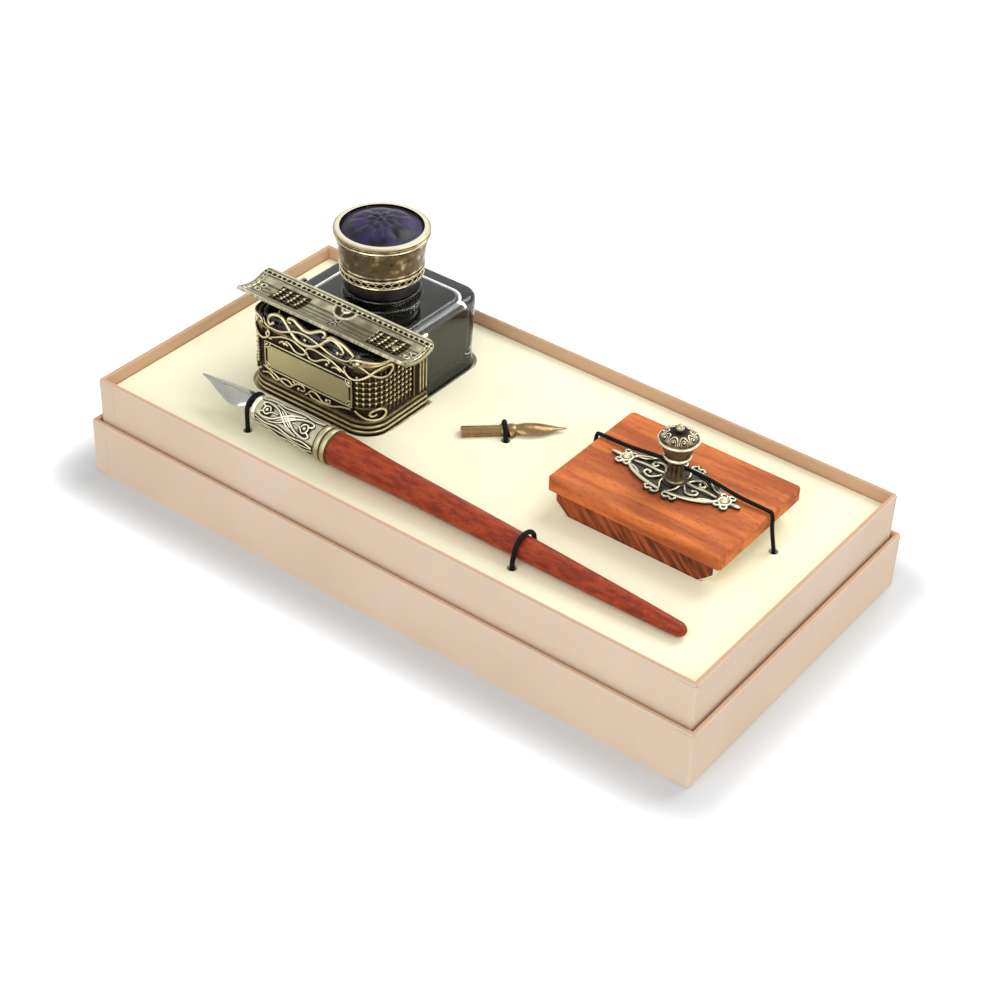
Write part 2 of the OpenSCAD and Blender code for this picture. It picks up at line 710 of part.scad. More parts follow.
module rest_rivets() {
    head_r = rivet_r + 0.5;
    // The head's flat underside sits where the hollow has risen to the head's edge
    head_z = rest_axis_z - sqrt(pow(rest_hollow_r, 2) - pow(head_r, 2));
    shank_z = rim_top_z + rivet_foot;
    color(metal_colour) for (x = [-1, 1]) translate([bottle_x + x * post_x, rest_y, 0]) {
        translate([0, 0, shank_z]) cylinder(r = rivet_r, h = head_z + 0.1 - shank_z, $fn = bead_fn);
        translate([0, 0, head_z]) cylinder(r1 = head_r, r2 = rivet_r - 0.2, h = 0.6, $fn = bead_fn);
    }
}

// ---------- Cap ----------

module at_neck(z) {
    translate([bottle_x, neck_y, z]) children();
}

module cap_seal() {
    color([0.9, 0.88, 0.8]) at_neck(seal_z) cylinder(r = liner_bore_r - 0.1, h = seal_t);
}

module cap_liner() {
    color([0.1, 0.09, 0.1]) at_neck(liner_z) difference() {
        cylinder(r = liner_r, h = liner_top_z - liner_z);
        translate([0, 0, -eps]) cylinder(r = liner_bore_r, h = seal_z + seal_t - liner_z + eps);
    }
}

// Cast shell: beaded foot, waisted body that opens to the rim, and the deck under the stone
module cap_shell() {
    top = shell_h - bezel_r;
    body = smooth([[shell_foot_r - 0.35, 5.6], [shell_foot_r + 0.2, 8.4], [shell_foot_r + 0.75, 12],
        [shell_rim_r - 0.7, 15.2]], 5);
    color(metal_colour) at_neck(shell_z) difference() {
        union() {
            rotate_extrude() polygon(concat([[liner_r, 0], [shell_foot_r - 0.5, 0]],
                [for (z = [0.4 : 0.4 : 5.2]) [shell_foot_r - 0.1 + 0.28 * cos(360 * z / 2.6), z]],
                body,
                [[shell_rim_r - 0.1, 15.6], [shell_rim_r - 0.1, 16.2], [shell_rim_r - 0.5, 16.4],
                    [shell_rim_r - 0.1, 16.6], [shell_rim_r - 0.2, top], [liner_r, top]]));
            // Row of beads round the foot
            for (k = [0 : 35])
                rotate(10 * k) translate([shell_foot_r - 0.05, 0, 2.6]) sphere(r = 0.62, $fn = 16);
            translate([0, 0, liner_top_z - shell_z]) cylinder(r = liner_r + 0.5, h = deck_t);
        }
        translate([0, 0, deck_z - shell_z]) cylinder(r = stone_seat_r, h = shell_h);
    }
}

module cap_bezel() {
    color(silver_colour) at_neck(shell_top_z - bezel_r)
        rotate_extrude() translate([stone_seat_r + bezel_r, 0]) intersection() {
            circle(r = bezel_r, $fn = 48);
            translate([-bezel_r, 0]) square([2 * bezel_r, bezel_r]);
        }
}

module cap_cabochon() {
    crown = stone_h - stone_girdle;
    dome_r = (pow(stone_r, 2) + pow(crown, 2)) / (2 * crown);
    color([0.12, 0.07, 0.2]) at_neck(deck_z) intersection() {
        cylinder(r = stone_r, h = stone_h + 1);
        translate([0, 0, stone_h - dome_r]) sphere(r = dome_r, $fn = 96);
    }
}

// ---------- Pen ----------

// Blade of the nib: shares of its length, its half width twice, and the heel's radius
nib_blade = [[0, 0.06, 0.01, 0.64], [0.08, 0.16, 0.02, 0.64], [0.16, 0.25, 0.04, 0.64],
    [0.24, 0.39, 0.09, 0.65], [0.33, 0.55, 0.16, 0.67], [0.41, 0.68, 0.22, 0.71], [0.49, 0.78, 0.31, 0.76],
    [0.57, 0.89, 0.38, 0.81], [0.65, 0.98, 0.44, 0.85], [0.73, 1, 0.46, 0.89], [0.79, 0.94, 0.45, 0.93],
    [0.84, 0.8, 0.4, 0.95], [0.88, 0.66, 0.35, 0.97], [0.92, 0.57, 0.34, 0.99]];
nib_wrap = 68;
nib_stations = concat(
    [for (b = nib_blade) [b[0] * nib_out, b[1] * nib_half_w, b[2] * nib_half_w, b[3] * heel_r]],
    [for (at = [0.95 * nib_out, nib_l]) [at, heel_r * sin(nib_wrap), heel_r * (1 - cos(nib_wrap)), heel_r]]);

module pen_nib() {
    slot_at = 0.38 * nib_out;
    slot_l = 0.27 * nib_out;
    color([0.62, 0.62, 0.6]) on_pen() difference() {
        nib_sheet(nib_stations, nib_t);
        // Pierced slot with a round eye, and the slit that runs from it to the point
        translate([slot_at, -0.35, 0]) cube([slot_l, 0.7, heel_r + 2]);
        translate([slot_at, 0, 0]) cylinder(r = 0.65, h = heel_r + 2, $fn = bead_fn);
        translate([-1, -0.06, -2]) cube([slot_at + 1, 0.12, heel_r + 4]);
    }
}

module nib_collet() {
    start = nib_out + 1;
    color([0.6, 0.6, 0.58]) on_pen() turned([
        [start, heel_r + heel_gap], [start, collet_r],
        [start + collet_l, collet_r], [start + collet_l, 0],
        [start - 0.5, 0], [start - 0.5, heel_r - nib_t - heel_gap - 0.5], [start, heel_r - nib_t - heel_gap],
        [nib_l + 0.5, heel_r - nib_t - heel_gap], [nib_l + 0.5, heel_r + heel_gap]]);
}

module pen_grip() {
    waist = smooth([[grip_at + 2.2, grip_front_r - 0.3], [grip_at + 0.26 * grip_l, grip_front_r + 0.35],
        [grip_at + 0.55 * grip_l, grip_rear_r - 0.25], [grip_at + 0.81 * grip_l, grip_rear_r - 0.05],
        [collar_at, grip_rear_r - 0.15]], 5);
    color(silver_colour) on_pen() difference() {
        turned(concat([[grip_at, 0], [grip_at, grip_front_r - 0.6]],
            [for (a = [60 : -20 : -60]) [grip_at + 1 - 0.9 * sin(a), grip_front_r - 0.55 + 0.55 * cos(a)]],
            [[grip_at + 2, grip_front_r - 0.4]], waist, [[collar_at, 0]]));
        turned([[grip_at - 1, 0], [grip_at - 1, collet_r], [grip_at + 1 + collet_l, collet_r],
            [grip_at + 1 + collet_l, tenon_r], [collar_at + 1, tenon_r], [collar_at + 1, 0]]);
    }
}

// Two rings with a groove between them
module pen_collar() {
    ring = collar_l / 4;
    color(silver_colour) on_pen() turned(concat([[collar_at, tenon_r], [collar_at, grip_rear_r - 0.2]],
        [for (k = [0, 1], a = [70 : -20 : -70])
            [collar_at + ring * (1 + 2 * k) - ring * sin(a), collar_r - ring * 0.8 + ring * 0.8 * cos(a)]],
        [[handle_at, handle_r - 0.5], [handle_at, tenon_r]]));
}

module pen_handle() {
    shape = smooth([[handle_at, handle_r - 0.3], [handle_at + handle_swell / 3, handle_r],
        [handle_at + handle_swell, handle_r - 0.05], [handle_at + 0.18 * handle_l, 0.86 * handle_r],
        [handle_at + 0.48 * handle_l, lerp(handle_r, handle_tail_r, 0.5)],
        [handle_at + handle_lean_at, handle_lean_r],
        [pen_l - 12, handle_tail_r], [pen_l - 3.2, handle_tail_r - 0.35]], 4);
    round_r = handle_tail_r - 0.35;
    color(wood_colour) on_pen() turned(concat(
        [[collar_at - 8, 0], [collar_at - 8, tenon_r], [handle_at, tenon_r]], shape,
        [for (a = [15 : 15 : 75]) [pen_l - 3.2 + 3.2 * sin(a), round_r * cos(a)]], [[pen_l, 0]]));
}

// ---------- Spare nib ----------

module on_spare() {
    translate([spare_x, spare_y, face_z + lie_gap]) rotate([0, 0, spare_angle]) children();
}

// The spare nib lies on its edges: shares of its length and of its half width three times.
// Two ears stand out between the blade and the rolled heel
spare_form = [[0, 0.07, 0.02, 0.64], [0.065, 0.23, 0.07, 0.67], [0.13, 0.47, 0.17, 0.72],
    [0.21, 0.83, 0.36, 0.81], [0.28, 0.97, 0.49, 0.87], [0.34, 1, 0.53, 0.89], [0.405, 0.92, 0.53, 0.87],
    [0.45, 0.77, 0.54, 0.83], [0.485, 0.7, 0.6, 0.81], [0.505, 0.95, 0.78, 0.85], [0.53, 1.08, 0.82, 0.86],
    [0.55, 0.95, 0.78, 0.85], [0.575, 0.66, 0.77, 0.81], [1, 0.66, 0.78, 0.81]];

module spare_nib() {
    spare_slot_at = 0.225 * spare_l;
    spare_slot_l = 0.095 * spare_l;
    stations = [for (f = spare_form)
        [f[0] * spare_l, f[1] * spare_half_w, f[2] * spare_half_w, f[3] * spare_half_w]];
    color(bronze_colour) on_spare() translate([spare_l, 0, 0]) mirror([1, 0, 0]) difference() {
        nib_sheet(stations, nib_t);
        translate([spare_slot_at, -0.35, 0]) cube([spare_slot_l, 0.7, 6]);
    }
}

// ---------- Elastic ties ----------

// Half turn of a tie over something round: middle, radius and how far its feet stand out
function over_round(c, rr, foot) = concat(
    [c + [0, -rr - foot, -2]],
    [for (a = [180 : -20 : 0]) c + rr * [0, cos(a), sin(a)]],
    [c + [0, rr + foot, -2]]);

function front_tie_route() = over_round(pen_point(nib_out - 1.3, 0, 0), heel_r + tie_gap + tie_r, 0.1);

function rear_tie_route() = let (t = (rear_tie_at - handle_at) / (pen_l - handle_at))
    over_round(pen_point(rear_tie_at, 0, 0), lerp(handle_r, handle_tail_r, t) + 0.1 + tie_gap + tie_r, 0.7);

function spare_tie_route() = let (
    d = [cos(spare_angle), sin(spare_angle), 0], side = [-d[1], d[0], 0],
    c = [spare_x, spare_y, face_z + lie_gap + spare_heel_r / 3] + spare_tie_at * d,
    rr = spare_heel_r + tie_gap + tie_r)
    concat([c - (rr + tie_r) * side], [for (a = [180 : -20 : 0]) c + rr * (side * cos(a) + [0, 0, sin(a)])],
        [c + (rr + tie_r) * side]);

function blotter_tie_route() = let (
    side_x = board_l / 2 + tie_gap + tie_r,
    top = board_top_z + tie_gap + tie_r,
    crown = top + fretplate_t + tie_r,
    y = blotter_y + knob_foot_r + tie_gap + tie_r + 0.1,
    // Half of the tie, from its hole to the middle, as [distance, height]
    half = [[side_x + 2, face_z], [side_x + 0.4, board_z], [side_x, board_top_z - 1],
        [side_x - 0.6, top - 0.3], [side_x - 2, top], [fretplate_l / 4 + 12, top + 0.4], [9, crown]])
    concat([for (p = half) [blotter_x - p[0], y, p[1]]],
        [for (i = [len(half) - 1 : -1 : 0]) [blotter_x + half[i][0], y, half[i][1]]]);

module pen_tie_front() {
    tie(front_tie_route(), [1, 0, 0]);
}

module pen_tie_rear() {
    tie(rear_tie_route(), [1, 0, 0]);
}

module spare_nib_tie() {
    tie(spare_tie_route(), [cos(spare_angle), sin(spare_angle), 0]);
}

module blotter_tie() {
    tie(blotter_tie_route(), [0, 1, 0]);
}

// ---------- Rocker blotter ----------

// Side view of the rocker: a round sole under a flat top, with upright ends
module rocker_side(inset, top_z) {
    half = rocker_l / 2 - inset;
    intersection() {
        translate([0, sole_axis_z]) circle(r = sole_r - inset, $fn = 180);
        translate([-half, sole_z]) square([2 * half, top_z - sole_z]);
    }
}

// Stands a side view upright and pulls it from front to back
module across_blotter(depth) {
    translate([blotter_x, blotter_y + depth / 2, 0]) rotate([90, 0, 0]) linear_extrude(depth) children();
}

module blotter_rocker() {
    color(wood_colour) difference() {
        across_blotter(rocker_d) rocker_side(paper_t, board_z - paper_t);
        translate([blotter_x, blotter_y, screw_tip_z - 1]) cylinder(r = insert_r, h = screw_in + 2);
    }
}

module blotting_paper() {
    top = board_z - paper_t;
    half = rocker_l / 2;
    color([0.96, 0.95, 0.92]) across_blotter(rocker_d) difference() {
        rocker_side(0, board_z);
        rocker_side(paper_t, top);
        translate([paper_flap - half, top - eps]) square([2 * (half - paper_flap), paper_t + 2 * eps]);
    }
}

// Threaded bush let into the rocker
module rocker_insert() {
    color([0.75, 0.62, 0.35]) translate([blotter_x, blotter_y, screw_tip_z - 1]) difference() {
        cylinder(r = insert_r, h = screw_in + 1);
        translate([0, 0, 1 - eps]) cylinder(r = screw_r + screw_gap, h = screw_in + 1);
    }
}

module clipped(l, d, c) {
    polygon([for (s = [[1, 1], [-1, 1], [-1, -1], [1, -1]], k = [0, 1])
        let (first = (s[0] * s[1] > 0) == (k == 0))
        [s[0] * (l / 2 - (first ? 0 : c)), s[1] * (d / 2 - (first ? c : 0))]]);
}

module blotter_board() {
    color(wood_colour) translate([blotter_x, blotter_y, board_z]) difference() {
        hull() {
            linear_extrude(top_board_t - board_bevel) clipped(board_l, board_d, board_clip);
            linear_extrude(top_board_t)
                clipped(board_l - 2 * board_bevel, board_d - 2 * board_bevel, board_clip);
        }
        translate([0, 0, -eps]) cylinder(r = screw_r + 0.3, h = top_board_t + 2 * eps);
    }
}

// Boat shape between two arcs
module boat(r) {
    offset_y = boat_r - fretplate_w / 2;
    intersection() {
        translate([0, offset_y]) circle(r = r, $fn = 128);
        translate([0, -offset_y]) circle(r = r, $fn = 128);
    }
}

// Straps, spurs and petals of one quarter of the plate: x and y pick the quarter
module fret_quarter(x, y) {
    half = fretplate_l / 2;
    scroll = [[4.4, 1.6], [7.5, 4.6], [10.4, 3.6], [10.2, 1.9], [8.9, 2.2]];
    spur = [[16.5, 3], [14, 3.4], [11.8, 5.4]];
    flourish = [[2, 8], [1.2, 10], [2.8, 11], [4, 9.6], [5.6, 10.6], [5.8, 8.6]];
    for (route = [scroll, spur, flourish]) strand([for (p = route) [x * p[0], y * p[1]]], fret_strap);
    for (p = [[1.3, 3.1], [-1.6, 2.7]])
        translate([x * (half + p[0]), y * p[1]]) circle(r = petal_r, $fn = bead_fn);
}

// Flat drawing of the whole tracery
module fret_tracery() {
    tip = fretplate_l / 2 + 2;
    difference() {
        boat(boat_r);
        boat(boat_r - fret_strap);
    }
    square([fretplate_l, fret_strap], center = true);
    for (x = [-1, 1]) {
        polygon([for (p = [[0, -1.2], [2.6, -0.5], [4, 0], [2.6, 0.5], [0, 1.2]]) [x * (tip + p[0]), p[1]]]);
        for (y = [-1, 1]) fret_quarter(x, y);
    }
}

module blotter_fretplate() {
    color(metal_colour) translate([blotter_x, blotter_y, board_top_z]) difference() {
        union() {
            linear_extrude(fretplate_t - fret_sunk) offset(delta = weld) fret_tracery();
            linear_extrude(fret_ground) boat(boat_r - fret_strap / 2);
            cylinder(r = knob_foot_r + 1.2, h = fretplate_t);
            for (x = [-1, 1])
                translate([x * fretplate_l / 2, 0, 0]) cylinder(r = fret_boss_r, h = fretplate_t);
        }
        translate([0, 0, -eps]) cylinder(r = screw_r + 0.3, h = fretplate_t + 2 * eps);
        for (x = [-1, 1])
            translate([x * fretplate_l / 2, 0, -eps]) cylinder(r = pin_r, h = fretplate_t + 2 * eps);
    }
}

module fretplate_pins() {
    color(silver_colour) for (x = [-1, 1])
        translate([blotter_x + x * fretplate_l / 2, blotter_y, fret_top_z]) {
            intersection() {
                sphere(r = pin_head_r, $fn = 32);
                cylinder(r = 2 * pin_head_r, h = 2 * pin_head_r);
            }
            translate([0, 0, -fretplate_t]) cylinder(r = pin_r, h = fretplate_t + eps);
        }
}

module blotter_knob() {
    head_z = knob_h - 3.1;
    outline = concat([[0, 0], [knob_foot_r, 0], [knob_foot_r, 0.5]],
        smooth([[knob_foot_r - 0.3, 0.8], [knob_neck_r, 3], [knob_neck_r - 0.1, 5.4],
            [knob_neck_r + 0.2, 7.6], [4.2, 8.9]], 4),
        [for (a = [-60 : 30 : 60]) [4.3 + 0.55 * cos(a), 9.7 + 0.6 * sin(a)]],
        smooth([[4.4, 10.6], [4.9, 11.6], [5.3, 13.2], [5.9, 14.8], [knob_head_r - 0.4, head_z - 0.6]], 4),
        [[knob_head_r, head_z - 0.2], [knob_head_r, head_z + 0.3], [knob_head_r - 0.5, head_z + 0.6]],
        smooth([[knob_head_r - 1, head_z + 0.7], [5, head_z + 2], [2.8, knob_h - 0.2], [0, knob_h]], 4));
    color(metal_colour) translate([blotter_x, blotter_y, fret_top_z]) difference() {
        rotate_extrude() polygon(outline);
        translate([0, 0, -eps]) cylinder(r = screw_r, h = 5 + eps);
        translate([0, 0, knob_h - 2]) cylinder(r = 0.7, h = 3, $fn = bead_fn);
    }
}

module knob_finial() {
    color(silver_colour) translate([blotter_x, blotter_y, knob_top_z]) {
        translate([0, 0, -2]) cylinder(r = 0.7, h = 2.6, $fn = bead_fn);
        translate([0, 0, finial_r - 0.1]) sphere(r = finial_r, $fn = 32);
    }
}

module knob_screw() {
    color([0.7, 0.7, 0.68]) translate([blotter_x, blotter_y, screw_tip_z + 0.3])
        cylinder(r = screw_r, h = fret_top_z + 5 - screw_tip_z - 0.3);
}

base_tray();
inner_tray();
insert_face();
insert_riser();
bottle_cradle();
bottle_glass();
bottle_neck();
bottle_boss();
ink();
bottle_surround();
name_plate();
pen_rest();
rest_posts();
rest_rivets();
cap_seal();
cap_liner();
cap_shell();
cap_bezel();
cap_cabochon();
pen_nib();
nib_collet();
pen_grip();
pen_collar();
pen_handle();
spare_nib();
pen_tie_front();
pen_tie_rear();
spare_nib_tie();
blotter_tie();
blotter_rocker();
blotting_paper();
rocker_insert();
blotter_board();
blotter_fretplate();
fretplate_pins();
blotter_knob();
knob_finial();
knob_screw();
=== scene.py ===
"""Boxed dip pen writing set, dressed for viewing in the frame of its CAD model.

Each sub-assembly is a class that holds its sizes in millimetres and builds its own
pieces. Each finish is a small frozen class that makes one procedural material.
"""
from __future__ import annotations

import json
import logging
from dataclasses import dataclass, field
from enum import Enum
from math import asin, atan, atan2, cos, hypot, pi, radians, sin, sqrt
from typing import Callable, Sequence

import bmesh
import bpy
from mathutils import Matrix, Vector

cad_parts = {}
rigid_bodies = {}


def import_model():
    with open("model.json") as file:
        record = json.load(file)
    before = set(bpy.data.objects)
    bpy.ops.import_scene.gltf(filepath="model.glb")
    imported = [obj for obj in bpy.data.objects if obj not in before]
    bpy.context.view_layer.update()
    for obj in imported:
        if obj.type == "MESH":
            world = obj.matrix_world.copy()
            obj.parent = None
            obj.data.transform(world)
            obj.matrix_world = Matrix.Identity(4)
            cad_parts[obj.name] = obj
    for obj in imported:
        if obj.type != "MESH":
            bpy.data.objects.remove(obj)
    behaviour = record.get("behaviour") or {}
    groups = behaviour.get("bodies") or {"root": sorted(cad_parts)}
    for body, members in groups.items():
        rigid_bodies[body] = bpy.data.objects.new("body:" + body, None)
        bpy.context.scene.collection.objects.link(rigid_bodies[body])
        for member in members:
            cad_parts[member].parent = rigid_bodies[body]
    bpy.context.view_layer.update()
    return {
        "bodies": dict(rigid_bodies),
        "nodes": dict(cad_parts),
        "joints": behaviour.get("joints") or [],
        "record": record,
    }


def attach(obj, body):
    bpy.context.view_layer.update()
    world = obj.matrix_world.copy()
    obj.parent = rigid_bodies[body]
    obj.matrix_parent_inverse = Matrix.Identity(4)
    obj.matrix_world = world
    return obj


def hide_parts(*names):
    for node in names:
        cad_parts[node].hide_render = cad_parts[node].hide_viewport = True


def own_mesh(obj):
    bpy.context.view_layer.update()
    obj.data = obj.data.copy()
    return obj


LOG = logging.getLogger("writing_set")
MM = 0.001
BOTTLE_X, BOTTLE_Y, NECK_Y = -63.8, 10.8, 18.0
BLOTTER_X, BLOTTER_Y = 72.5, 9.4
FACE_Z, SEAT_Z = 35.4, 33.0
Point = tuple[float, float, float]
Flat = tuple[float, float]
Rows = Sequence[Sequence[Point]]
Colour = tuple[float, float, float, float]
Placing = Callable[[float, float, float], Point]
Socket = bpy.types.NodeSocket
Node = bpy.types.Node
Tree = bpy.types.NodeTree
Thing = bpy.types.Object


def srgb(red: int, green: int, blue: int) -> Colour:
    """Returns the linear colour of three 0-255 screen values."""
    def linear(value: int) -> float:
        """Returns one channel's linear value."""
        part = value / 255
        return part / 12.92 if part <= 0.04045 else ((part + 0.055) / 1.055) ** 2.4

    return (linear(red), linear(green), linear(blue), 1.0)


def clamp(value: float, low: float = 0.0, high: float = 1.0) -> float:
    """Returns value held between low and high."""
    return max(low, min(high, value))


def bump(distance: float, width: float) -> float:
    """Returns a round hump that is 1 at distance 0 and 0 from width on."""
    return 0.0 if abs(distance) >= width else cos(0.5 * pi * distance / width)


def smooth_route(route: Sequence[Sequence[float]], steps: int = 6) -> list[tuple[float, ...]]:
    """Passes a smooth curve through a route.

    Args:
        route: points of any dimension.
        steps: points made for each stretch of the route.

    Returns:
        The points of the curve, ends included.
    """
    last = len(route) - 1
    made = []
    for i in range(last):
        a, b = route[max(i - 1, 0)], route[i]
        c, d = route[i + 1], route[min(i + 2, last)]
        for step in range(steps):
            t = step / steps
            made.append(tuple(
                0.5 * (2 * q + (r - p) * t + (2 * p - 5 * q + 4 * r - s) * t * t
                       + (3 * q - p - 3 * r + s) * t ** 3)
                for p, q, r, s in zip(a, b, c, d)))
    made.append(tuple(route[last]))
    return made


# ---------- Node wiring ----------


class Wiring:
    """Adds nodes to a tree and joins them."""

    COLOUR_A, COLOUR_B, COLOUR_OUT = 6, 7, 2

    def __init__(self, tree: Tree) -> None:
        """Keeps the tree that the nodes go into."""
        self.tree = tree

    def feed(self, node: Node, values: dict) -> None:
        """Sets or joins a node's inputs, each given by name or number."""
        for name, value in values.items():
            if isinstance(value, Socket):
                self.tree.links.new(value, node.inputs[name])
            else:
                node.inputs[name].default_value = value

    def sockets(self, way: str, kinds: dict[str, str]) -> None:
        """Gives the tree its INPUT or OUTPUT sockets, each with its kind."""
        for title, kind in kinds.items():
            self.tree.interface.new_socket(name=title, in_out=way, socket_type="NodeSocket" + kind)

    def add(self, kind: str, values: dict | None = None, **settings: object) -> Node:
        """Adds a node.

        Args:
            kind: the node's type name.
            values: what its inputs hold or are joined to, by name or number.
            settings: attributes of the node.

        Returns:
            The new node.
        """
        node = self.tree.nodes.new(kind)
        for name, value in settings.items():
            setattr(node, name, value)
        self.feed(node, values or {})
        return node

    def math(self, operation: str, a: object, b: object = 0.0, clamped: bool = False) -> Socket:
        """Returns the result of a Math node on a and b."""
        return self.add("ShaderNodeMath", {0: a, 1: b}, operation=operation, use_clamp=clamped).outputs[0]

    def mix(self, factor: object, a: object, b: object) -> Socket:
        """Returns colour a turned into colour b by the factor."""
        held = {0: factor, self.COLOUR_A: a, self.COLOUR_B: b}
        return self.add("ShaderNodeMix", held, data_type="RGBA").outputs[self.COLOUR_OUT]

    def spread(self, value: object, low: float, high: float, to_low: float = 0.0,
               to_high: float = 1.0) -> Socket:
        """Returns value mapped smoothly from low-high to to_low-to_high."""
        held = {"Value": value, "From Min": low, "From Max": high, "To Min": to_low, "To Max": to_high}
        return self.add("ShaderNodeMapRange", held, interpolation_type="SMOOTHSTEP").outputs[0]

    def noise(self, scale: object, detail: float = 4.0, stretch: Point = (1.0, 1.0, 1.0),
              turn: Point = (0.0, 0.0, 0.0)) -> Socket:
        """Returns noise on Object coordinates that are turned and then stretched."""
        where = self.add("ShaderNodeTexCoord").outputs["Object"]
        turned = self.add("ShaderNodeMapping", {"Vector": where, "Rotation": turn}).outputs[0]
        mapped = self.add("ShaderNodeMapping", {"Vector": turned, "Scale": stretch}).outputs[0]
        return self.add("ShaderNodeTexNoise",
                        {"Vector": mapped, "Scale": scale, "Detail": detail}).outputs["Fac"]

    def raised(self, height: Socket, strength: float, distance: float) -> Socket:
        """Returns a normal that a height raises."""
        return self.add("ShaderNodeBump",
                        {"Height": height, "Strength": strength, "Distance": distance}).outputs[0]

    def in_view(self) -> Socket:
        """Returns 1 on rays from the camera, off gloss and through glass."""
        path = self.add("ShaderNodeLightPath").outputs
        both = self.math("MAXIMUM", path["Is Camera Ray"], path["Is Glossy Ray"])
        return self.math("MAXIMUM", both, path["Is Transmission Ray"])


class Effect:
    """A shader node group that is built once and shared by the finishes."""

    made: dict[str, Tree] = {}

    @classmethod
    def group(cls, name: str, inputs: dict[str, str], outputs: dict[str, str],
              fill: Callable[[Wiring, dict[str, Socket]], dict[str, Socket]]) -> Tree:
        """Builds a group, or returns the one already built.

        Args:
            name: the group's name.
            inputs: the kind of each input.
            outputs: the kind of each output.
            fill: makes the inner nodes and returns the socket for each output.

        Returns:
            The group's tree.
        """
        if name not in cls.made:
            w = Wiring(bpy.data.node_groups.new(name, "ShaderNodeTree"))
            w.sockets("INPUT", inputs)
            w.sockets("OUTPUT", outputs)
            entry = w.add("NodeGroupInput")
            made = fill(w, {title: entry.outputs[title] for title in inputs})
            w.feed(w.add("NodeGroupOutput"), made)
            cls.made[name] = w.tree
        return cls.made[name]

    @staticmethod
    def patina_and_highlight() -> Tree:
        """Returns the group that darkens hollows with patina and brightens raised metal, partly as polish and
        partly as painted highlight.
        """
        def fill(w: Wiring, given: dict[str, Socket]) -> dict[str, Socket]:
            """Follows the relief attribute, which also carries painted light, with cloudy mottling."""
            relief = w.add("ShaderNodeAttribute", attribute_name="relief").outputs["Fac"]
            lifted = w.math("ADD", relief, given["Lift"])
            cloud = w.math("MULTIPLY", w.math("SUBTRACT", w.noise(320.0, 5.0), 0.5), given["Mottle"])
            level = w.math("ADD", lifted, cloud, clamped=True)
            low = w.mix(w.spread(level, 0.1, 0.5), given["Recess"], given["Body"])
            # Polish and painted highlight: high relief takes the bright colour.
            return {"Color": w.mix(w.spread(level, 0.55, 0.95), low, given["Bright"]),
                    "Roughness": w.spread(level, 0.0, 0.9, 0.62, 0.24), "Height": w.noise(2600.0, 3.0)}

        return Effect.group("metal patina and highlight", {"Recess": "Color", "Body": "Color", "Bright": "Color",
                                             "Lift": "Float", "Mottle": "Float"},
                            {"Color": "Color", "Roughness": "Float", "Height": "Float"}, fill)

    @staticmethod
    def fibre() -> Tree:
        """Returns the group of fine fibres and soft clouds in paper and card."""
        def fill(w: Wiring, given: dict[str, Socket]) -> dict[str, Socket]:
            """Lays long fine fibres over broad clouds."""
            fine = w.noise(2200.0, 4.0, (1.0, 0.35, 1.0))
            both = w.math("ADD", w.math("MULTIPLY", fine, 0.55), w.math("MULTIPLY", w.noise(28.0, 2.0), 0.45))
            return {"Color": w.mix(w.spread(both, 0.3, 0.7), given["Deep"], given["Pale"]), "Height": fine}

        return Effect.group("paper fibre", {"Pale": "Color", "Deep": "Color"},
                            {"Color": "Color", "Height": "Float"}, fill)

    @staticmethod
    def scuff() -> Tree:
        """Returns the group of fine rubbing marks along one direction."""
        def fill(w: Wiring, given: dict[str, Socket]) -> dict[str, Socket]:
            """Mixes long thin marks with a little cloud."""
            marks = w.noise(given["Scale"], 3.0, (0.06, 1.0, 1.0))
            both = w.math("ADD", w.math("MULTIPLY", marks, 0.6), w.math("MULTIPLY", w.noise(90.0, 3.0), 0.4))
            return {"Mask": w.spread(both, 0.35, 0.65), "Height": marks}

        return Effect.group("fine scuffs", {"Scale": "Float"}, {"Mask": "Float", "Height": "Float"}, fill)


# ---------- Finishes ----------


@dataclass(frozen=True)
class Finish:
    """A named finish with a Principled surface."""

    name: str

    def surface(self, w: Wiring) -> dict[str, object]:
        """Returns what the surface's inputs hold or are joined to."""
        return {}

    def make(self) -> bpy.types.Material:
        """Returns the finished material."""
        material = bpy.data.materials.new(self.name)
        material.use_nodes = True
        w = Wiring(material.node_tree)
        w.feed(material.node_tree.nodes["Principled BSDF"], self.surface(w))
        return material


@dataclass(frozen=True)
class CastMetal(Finish):
    """Antique cast metal: dark hollows, mottled body and high places that are partly rubbed bright and partly
    painted highlight.
    """

    recess: Colour = srgb(46, 39, 26)
    body: Colour = srgb(124, 112, 78)
    bright: Colour = srgb(218, 208, 168)
    lift: float = 0.0
    mottle: float = 0.5

    def surface(self, w: Wiring) -> dict[str, object]:
        """Returns a patina with painted highlights that follows the relief, over a fine cast grain."""
        group = w.add("ShaderNodeGroup", {"Recess": self.recess, "Body": self.body, "Bright": self.bright,
                                          "Lift": self.lift, "Mottle": self.mottle},
                      node_tree=Effect.patina_and_highlight()).outputs
        return {"Metallic": 0.9, "Base Color": group["Color"], "Roughness": group["Roughness"],
                "Normal": w.raised(group["Height"], 0.35, 0.00006)}


@dataclass(frozen=True)
class SheetMetal(Finish):
    """Pressed or turned metal with fine rubbing marks."""

    pale: Colour = srgb(200, 200, 196)
    deep: Colour = srgb(150, 148, 142)
    smooth: float = 0.16
    rough: float = 0.34
    metallic: float = 1.0
    marks: float = 0.12

    def surface(self, w: Wiring) -> dict[str, object]:
        """Returns bright metal with rubbing marks."""
        group = w.add("ShaderNodeGroup", {"Scale": 1500.0}, node_tree=Effect.scuff()).outputs
        return {"Metallic": self.metallic, "Base Color": w.mix(group["Mask"], self.deep, self.pale),
                "Roughness": w.spread(group["Mask"], 0.0, 1.0, self.rough, self.smooth),
                "Normal": w.raised(group["Height"], self.marks, 0.00004)}


